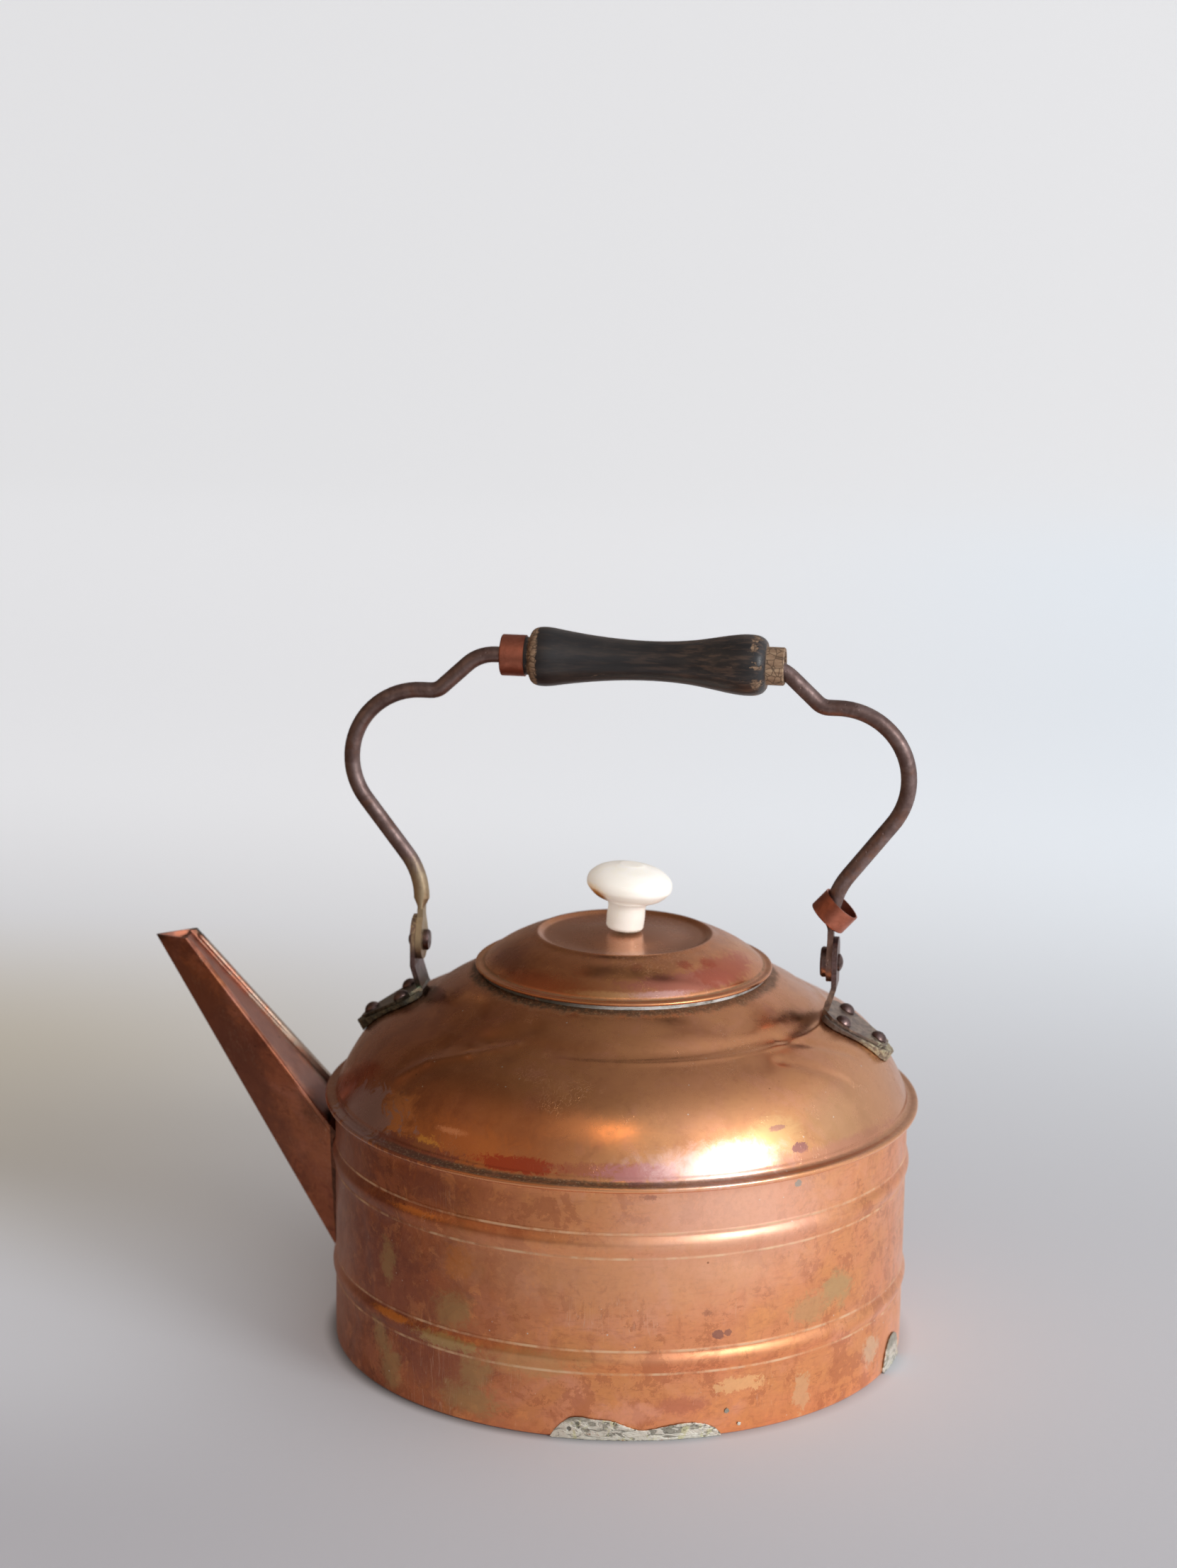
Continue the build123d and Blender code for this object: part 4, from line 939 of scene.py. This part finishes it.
def bracket_metal():
    """Sheet brackets: tan and plum above, an olive-black foot at the spout, a crusted beige one behind."""
    f = Finish("bracket_metal")
    z = f.part_of("Z")
    blotch = f.noise(0.0032, 8.0, 0.72, 0.7)
    streak = f.noise(0.0014, 5.0, 0.66, 0.3, (1, 1, 7), 23.0)
    tan = f.blend((0.56, 0.42, 0.25), (0.24, 0.16, 0.13), streak, 0.40, 0.60)
    plum = f.blend((0.20, 0.13, 0.125), (0.10, 0.065, 0.06), blotch, 0.38, 0.62)
    olive = f.blend((0.11, 0.085, 0.055), (0.035, 0.030, 0.020), blotch, 0.42, 0.58)
    beige = f.blend((0.34, 0.25, 0.19), (0.17, 0.125, 0.105), blotch, 0.40, 0.60)
    front = f.blend(olive, plum, z, 0.1340, 0.1400)
    front = f.blend(front, tan, z, 0.1450, 0.1500)
    rear = f.blend(beige, plum, z, 0.1385, 0.1460)
    colour = f.mix(f.along("X", -0.01, 0.01), front, rear)
    crust = f.fade(f.noise(0.0032, 7.0, 0.72, 0.8, shift=9), 0.50, 0.58)
    crust = f.both(crust, f.fade(z, 0.128, 0.140, 1.0, 0.25), f.along("X", 0.092, 0.099, 0.04, 0.9))
    colour = f.mix(crust, colour, (0.66, 0.62, 0.42))
    green = f.fade(f.noise(0.0045, 6.0, 0.7, shift=19), 0.56, 0.66, 0.0, 0.5)
    green = f.both(green, f.fall(z, 0.134, 0.142), f.along("X", -0.01, 0.01, 1.0, 0.1))
    colour = f.mix(green, colour, (0.13, 0.22, 0.13))
    normal = f.bump(f.noise(0.0010, 4.0, 0.6, shift=5), 0.00010)
    normal = f.bump(crust, 0.0002, normal)
    return f.done(colour, f.fade(crust, 0.0, 1.0, 0.36, 0.62), f.fade(crust, 0.0, 1.0, 0.85, 0.15), normal)


def soft_solder():
    """Grey-beige solder with pits, a bright crumbled lower edge, dark creases and rust specks."""
    f = Finish("soft_solder")
    cloud = f.noise(0.0060, 6.0, 0.62, 0.8)
    colour = f.ramp(cloud, (
        (0.34, (0.20, 0.195, 0.155)), (0.50, (0.30, 0.29, 0.235)), (0.64, (0.38, 0.37, 0.31))))
    flakes = f.noise(0.0042, 6.0, 0.66, 1.6, (1.8, 1.8, 0.6), 6.0)
    low = f.fade(f.calc("MULTIPLY_ADD", cloud, -0.010, f.part_of("Z")), 0.0010, 0.0040, 1.0, 0.06)
    bright = f.both(f.fade(flakes, 0.40, 0.52), low)
    colour = f.mix(bright, colour, (0.72, 0.71, 0.62))
    sulphur = f.both(f.fade(f.noise(0.0040, 6.0, 0.7, shift=26), 0.54, 0.62, 0.0, 0.7), low)
    colour = f.mix(sulphur, colour, (0.66, 0.66, 0.38))
    torn = f.fade(f.noise(0.0035, 5.0, 0.7, shift=35), 0.46, 0.58)
    creases = f.both(f.line(flakes, 0.43, 0.0, 0.012), torn, f.calc("MULTIPLY_ADD", low, 0.55, 0.05))
    pits = f.both(f.fade(f.cells(0.0050, shift=3.0), 0.10, 0.20, 0.8, 0.0), f.fade(cloud, 0.48, 0.56))
    dark = f.either(creases, pits)
    colour = f.mix(dark, colour, (0.06, 0.06, 0.05))
    rust = f.fade(f.noise(0.004, 6.0, 0.7, shift=16), 0.62, 0.68, 0.0, 0.6)
    colour = f.mix(rust, colour, (0.34, 0.10, 0.03))
    normal = f.bump(f.noise(0.0011, 5.0, 0.65, 0.4, shift=3), 0.00012)
    normal = f.bump(f.calc("SUBTRACT", flakes, dark), f.calc("MULTIPLY_ADD", low, 0.0006, 0.0001), normal)
    return f.done(colour, f.fade(bright, 0.0, 1.0, 0.50, 0.30), f.fade(bright, 0.0, 1.0, 0.25, 0.65), normal)


def foot_solder():
    """Solder round the bracket feet: olive-black at the spout, beige and cream at the rear."""
    f = Finish("bracket_solder")
    cloud = f.noise(0.0034, 8.0, 0.72, 0.9)
    front = f.blend((0.12, 0.10, 0.055), (0.035, 0.032, 0.02), cloud, 0.42, 0.58)
    rear = f.ramp(cloud, (
        (0.38, (0.14, 0.10, 0.075)), (0.48, (0.30, 0.23, 0.16)), (0.58, (0.60, 0.54, 0.34)),
        (0.66, (0.20, 0.15, 0.11))))
    rear = f.mix(f.along("X", 0.088, 0.097), (0.13, 0.095, 0.075), rear)
    colour = f.mix(f.along("X", -0.01, 0.01), front, rear)
    green = f.fade(f.noise(0.0045, 6.0, 0.7, shift=19), 0.56, 0.66, 0.0, 0.6)
    colour = f.mix(f.both(green, f.along("X", -0.01, 0.01, 1.0, 0.3)), colour, (0.12, 0.18, 0.10))
    return f.done(colour, f.fade(cloud, 0.35, 0.65, 0.60, 0.42), 0.35, f.bump(cloud, 0.0005))


def finishes():
    """Every finish by name. Each is also given to the CAD nodes that wear it, which are listed after it."""
    made = {}
    for name, material, *wearers in (
            ("wall_copper", wall_copper(), "body_wall", "base_pan"),
            ("dome_copper", dome_copper(), "shoulder_dome", "lid_cover"),
            ("lid_copper", lid_copper()),
            ("spout_copper", spout_copper(), "spout_side_shell", "spout_top_plate"),
            ("tinned_copper", tinned(), "mouth_collar", "lid_skirt"),
            ("soft_solder", soft_solder(), "solder_repairs"),
            ("bracket_solder", foot_solder(), "bracket_solder"),
            ("seam_solder", plain_metal("seam_solder", *SEAM_TONES, 0.45), "spout_solder"),
            ("bracket_metal", bracket_metal(), "spout_bracket", "rear_bracket"),
            ("rivet_metal", plain_metal("rivet_metal", *RIVET_TONES, 0.34),
             "bracket_rivets", "spout_pivot_rivet", "rear_pivot_rivet", "knob_washer"),
            ("rod_iron", rod_iron(), "bail_rod"),
            ("grip_wood", grip_paint(), "grip"),
            ("ferrule_copper", plain_metal("ferrule_copper", *FERRULE_TONES, 0.40, 0.007),
             "loose_ferrule", "fitted_ferrule"),
            ("knob_ceramic", knob_glaze(), "lid_knob"),
            ("screw_steel", plain_metal("screw_steel", *STEEL_TONES, 0.35), "knob_screw")):
        made[name] = material
        for wearer in wearers:
            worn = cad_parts[wearer].data.materials
            worn.clear()
            worn.append(material)
    return made


# ---- pieces ----
def build_sheets():
    """The dome, lid and wall as dense worn sheets in place of their plain solids."""
    dome = turned_sheet("kettle_dome", dome_face(), DOME_SHEET, 360, dome_wear)
    add_piece("kettle_dome", dome, "kettle", "dome_copper", "shoulder_dome")
    lid = turned_sheet("lid_top", lid_face(), DOME_SHEET, 240, lid_wear)
    piece = add_piece("lid_top", lid, "lid", "dome_copper", "lid_cover")
    piece.data.materials[0] = materials["lid_copper"]  # same slot as the dome, with stains of its own
    wall = turned_sheet("kettle_wall", wall_face(), WALL_SHEET, 360, wall_wear)
    add_piece("kettle_wall", with_strainer(wall), "kettle", "wall_copper", "body_wall")


def lumpy(node):
    """Gives a plain solder solid the lumps of metal that was smeared on."""
    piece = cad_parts[node]
    dense = piece.modifiers.new("dense", "REMESH")
    dense.mode = "VOXEL"
    dense.voxel_size = SOLDER_VOXEL * MM
    dense.use_smooth_shade = True
    clouds = bpy.data.textures.new(node + "_lumps", "CLOUDS")
    clouds.noise_scale = SOLDER_LUMP * MM
    clouds.noise_depth = 3
    lumps = piece.modifiers.new("lumps", "DISPLACE")
    lumps.texture = clouds
    lumps.texture_coords = "LOCAL"
    lumps.strength = SOLDER_RISE * MM
    lumps.mid_level = 0.8


# ---- stage, light and camera ----
def pale_floor():
    """A seamless sheet: flat under the kettle, then curving up far behind it."""
    bend_y, bend_r, top, half = 2.4, 1.2, 3.6, 7.0
    line = [(-7.0, 0.0), (-2.0, 0.0), (bend_y, 0.0)]
    for step in range(1, 13):
        turn = math.radians(90 * step / 12)
        line.append((bend_y + bend_r * math.sin(turn), bend_r * (1 - math.cos(turn))))
    line.append((bend_y + bend_r, top))
    verts = [(x, y, z) for y, z in line for x in (-half, half)]
    faces = [(2 * i, 2 * i + 1, 2 * i + 3, 2 * i + 2) for i in range(len(line) - 1)]
    floor = put("pale_floor", smooth_mesh("pale_floor", verts, faces))
    floor.data.materials.append(pale_paper())


def pale_paper():
    """Matt pale paper. The eye sees it evened out by a faint glow, with a painted beige shadow left of the
    kettle and a painted contact shadow round its foot; the copper mirrors a sheet that is darker on the left.
    """
    f = Finish("pale_paper")
    x, y = f.part_of("X"), f.part_of("Y")
    eye = f.node("ShaderNodeLightPath").outputs["Is Camera Ray"]
    beyond = f.calc("MULTIPLY_ADD", x, 0.35, y)
    right = f.fade(x, -0.35, 0.35)
    # the kettle's shadow, painted beige on the floor to its left
    shade = f.both(f.fall(x, -0.40, -0.02), f.fade(beyond, -0.12, 0.06))
    shade = f.both(shade, f.fade(y, 0.28, 0.58, 0.85, 0.0))
    foot = f.vector("DISTANCE", f.place, (0, 0, 0))
    # a painted contact shadow: a dark ring round the kettle's foot, stronger on the left
    contact_shadow = f.both(f.fall(foot, 0.108, 0.115), f.fade(x, -0.04, 0.10, 0.7, 0.25))

    # the sheet's colour for the eye, and for the copper
    colour = f.mix(f.noise(0.35, 3.0), (0.62, 0.625, 0.655), (0.59, 0.60, 0.64))
    colour = f.blend(colour, (0.68, 0.70, 0.72), y, -0.35, 0.7)
    colour = f.blend(colour, (0.52, 0.53, 0.535), y, 1.4, 3.2)
    colour = f.mix(shade, colour, (0.54, 0.50, 0.40))
    colour = f.mix(contact_shadow, colour, (0.05, 0.04, 0.035))
    mirrored = f.mix(f.fall(x, -0.45, 0.15), (0.95, 0.95, 0.97), (0.30, 0.19, 0.115))
    mirrored = f.mix(f.fade(y, -0.75, -0.25, 0.45, 0.0), mirrored, (0.0, 0.0, 0.0))
    mirrored = f.blend(mirrored, (0.35, 0.33, 0.30), y, 0.9, 2.6, 0.45)

    # a faint glow of its own that evens out the light: its tint, then its strength
    tint = f.mix(f.both(right, f.fall(y, 1.8, 2.8)), (0.97, 1.0, 1.03), (0.88, 1.01, 1.12))
    tint = f.mix(shade, tint, (1.0, 0.92, 0.74))
    left_front = f.both(f.fall(x, -0.22, -0.02), f.fade(y, -0.22, -0.06))
    left_front = f.both(left_front, f.fall(beyond, -0.10, 0.05))
    lift = 0.01
    for place, share in (
            (f.both(right, f.fall(y, 0.6, 1.5)), 0.03), (left_front, 0.10),
            (f.fade(y, -0.1, 1.0), 0.06), (f.fade(y, -0.40, 0.10), 0.06),
            (f.fade(y, 0.10, 0.90), 0.27), (f.fade(y, 1.1, 2.5), 0.08)):
        lift = f.calc("MULTIPLY_ADD", place, share, lift)
    lift = f.both(lift, f.calc("SUBTRACT", 1.0, contact_shadow))
    front_right = f.both(f.fade(x, -0.05, 0.35, 0.0, 0.26), f.fade(y, -0.7, -0.1, 0.4, 1.0))
    front_right = f.both(front_right, f.fade(y, 0.0, 0.5, 1.0, 0.2))
    behind = f.both(f.fade(y, 0.3, 2.4), f.fade(x, -0.9, 0.1, 0.15, 1.0))
    mirrored_lift = f.calc("MULTIPLY_ADD", behind, 0.14, front_right)
    f.feed(f.shader.inputs["Emission Color"], f.mix(eye, (0.98, 1.0, 1.03), tint))
    f.feed(f.shader.inputs["Emission Strength"], f.mix(eye, mirrored_lift, lift))
    return f.done(f.mix(eye, mirrored, colour), 0.85, 0.0, f.bump(f.noise(0.004, 3.0), 0.0001))


def aim(azimuth, elevation):
    """The unit vector towards a direction in degrees."""
    a, e = math.radians(azimuth), math.radians(elevation)
    return Vector((math.cos(a) * math.cos(e), math.sin(a) * math.cos(e), math.sin(e)))


def lamp(name, azimuth, elevation, distance, width, height, power, colour):
    """A soft rectangular light that looks at the kettle from a direction in degrees."""
    out = aim(azimuth, elevation)
    data = bpy.data.lights.new(name, "AREA")
    data.shape = "RECTANGLE"
    data.size, data.size_y = width, height
    data.energy = power
    data.color = colour
    made = put(name, data)
    made.rotation_mode = "QUATERNION"
    made.rotation_quaternion = out.to_track_quat("Z", "Y")
    made.location = Vector((0, 0, 0.1)) + out * distance


def room_glow():
    """What the copper mirrors from the room: cool daylight from the right, a warm dim wall on the left."""
    world = bpy.data.worlds.new("room")
    bpy.context.scene.world = world
    world.use_nodes = True
    back = world.node_tree.nodes["Background"]
    f = Nodes(world.node_tree)
    direction = f.node("ShaderNodeTexCoord").outputs["Generated"]
    glow = (0.145, 0.11, 0.085)
    # azimuth, elevation, tightness and tint of each bright side of the room
    for azimuth, elevation, tightness, tint in (
            (-40, 16, 3.0, (0.98, 1.07, 1.20)), (20, 30, 2.0, (0.60, 0.62, 0.67)),
            (-135, 18, 4.0, (0.28, 0.17, 0.10))):
        near = f.calc("MAXIMUM", f.vector("DOT_PRODUCT", direction, tuple(aim(azimuth, elevation))), 0.0)
        lobe = f.mix(f.calc("POWER", near, tightness), (0.0, 0.0, 0.0), tint)
        glow = f.mix(1.0, glow, lobe, "ADD")
    eye = f.node("ShaderNodeLightPath").outputs["Is Camera Ray"]
    f.feed(back.inputs["Color"], f.mix(eye, glow, (0.80, 0.80, 0.79)))
    f.feed(back.inputs["Strength"], 1.0)


def photo_camera():
    """The eye: a long lens, a little above the kettle and slightly to its right."""
    focus = put("focus", None)
    focus.location = FOCUS
    data = bpy.data.cameras.new("camera")
    data.lens = LENS
    data.sensor_width = SENSOR
    data.clip_start, data.clip_end = 0.05, 60.0
    data.dof.use_dof = True
    data.dof.focus_object = focus
    data.dof.aperture_fstop = F_STOP
    made = put("camera", data)
    turn = Matrix.Rotation(math.radians(HEADING), 4, "Z") @ Matrix.Rotation(math.radians(90 - TILT), 4, "X")
    turn = turn @ Matrix.Rotation(math.radians(ROLL), 4, "Z")
    made.matrix_world = Matrix.Translation(EYE) @ turn
    bpy.context.scene.camera = made


# ---- the scene ----
materials = finishes()
build_sheets()
spout_hems()
rivet_heads()
lumpy("solder_repairs")
lumpy("bracket_solder")

bpy.context.scene.view_settings.view_transform = "Standard"
pale_floor()
lamp("window", -35, 24, 2.3, 0.75, 0.45, 15, (1.0, 0.99, 0.97))
lamp("room_lamp", -84, 46, 2.6, 0.55, 0.25, 1.1, (1.0, 0.62, 0.32))
room_glow()
photo_camera()
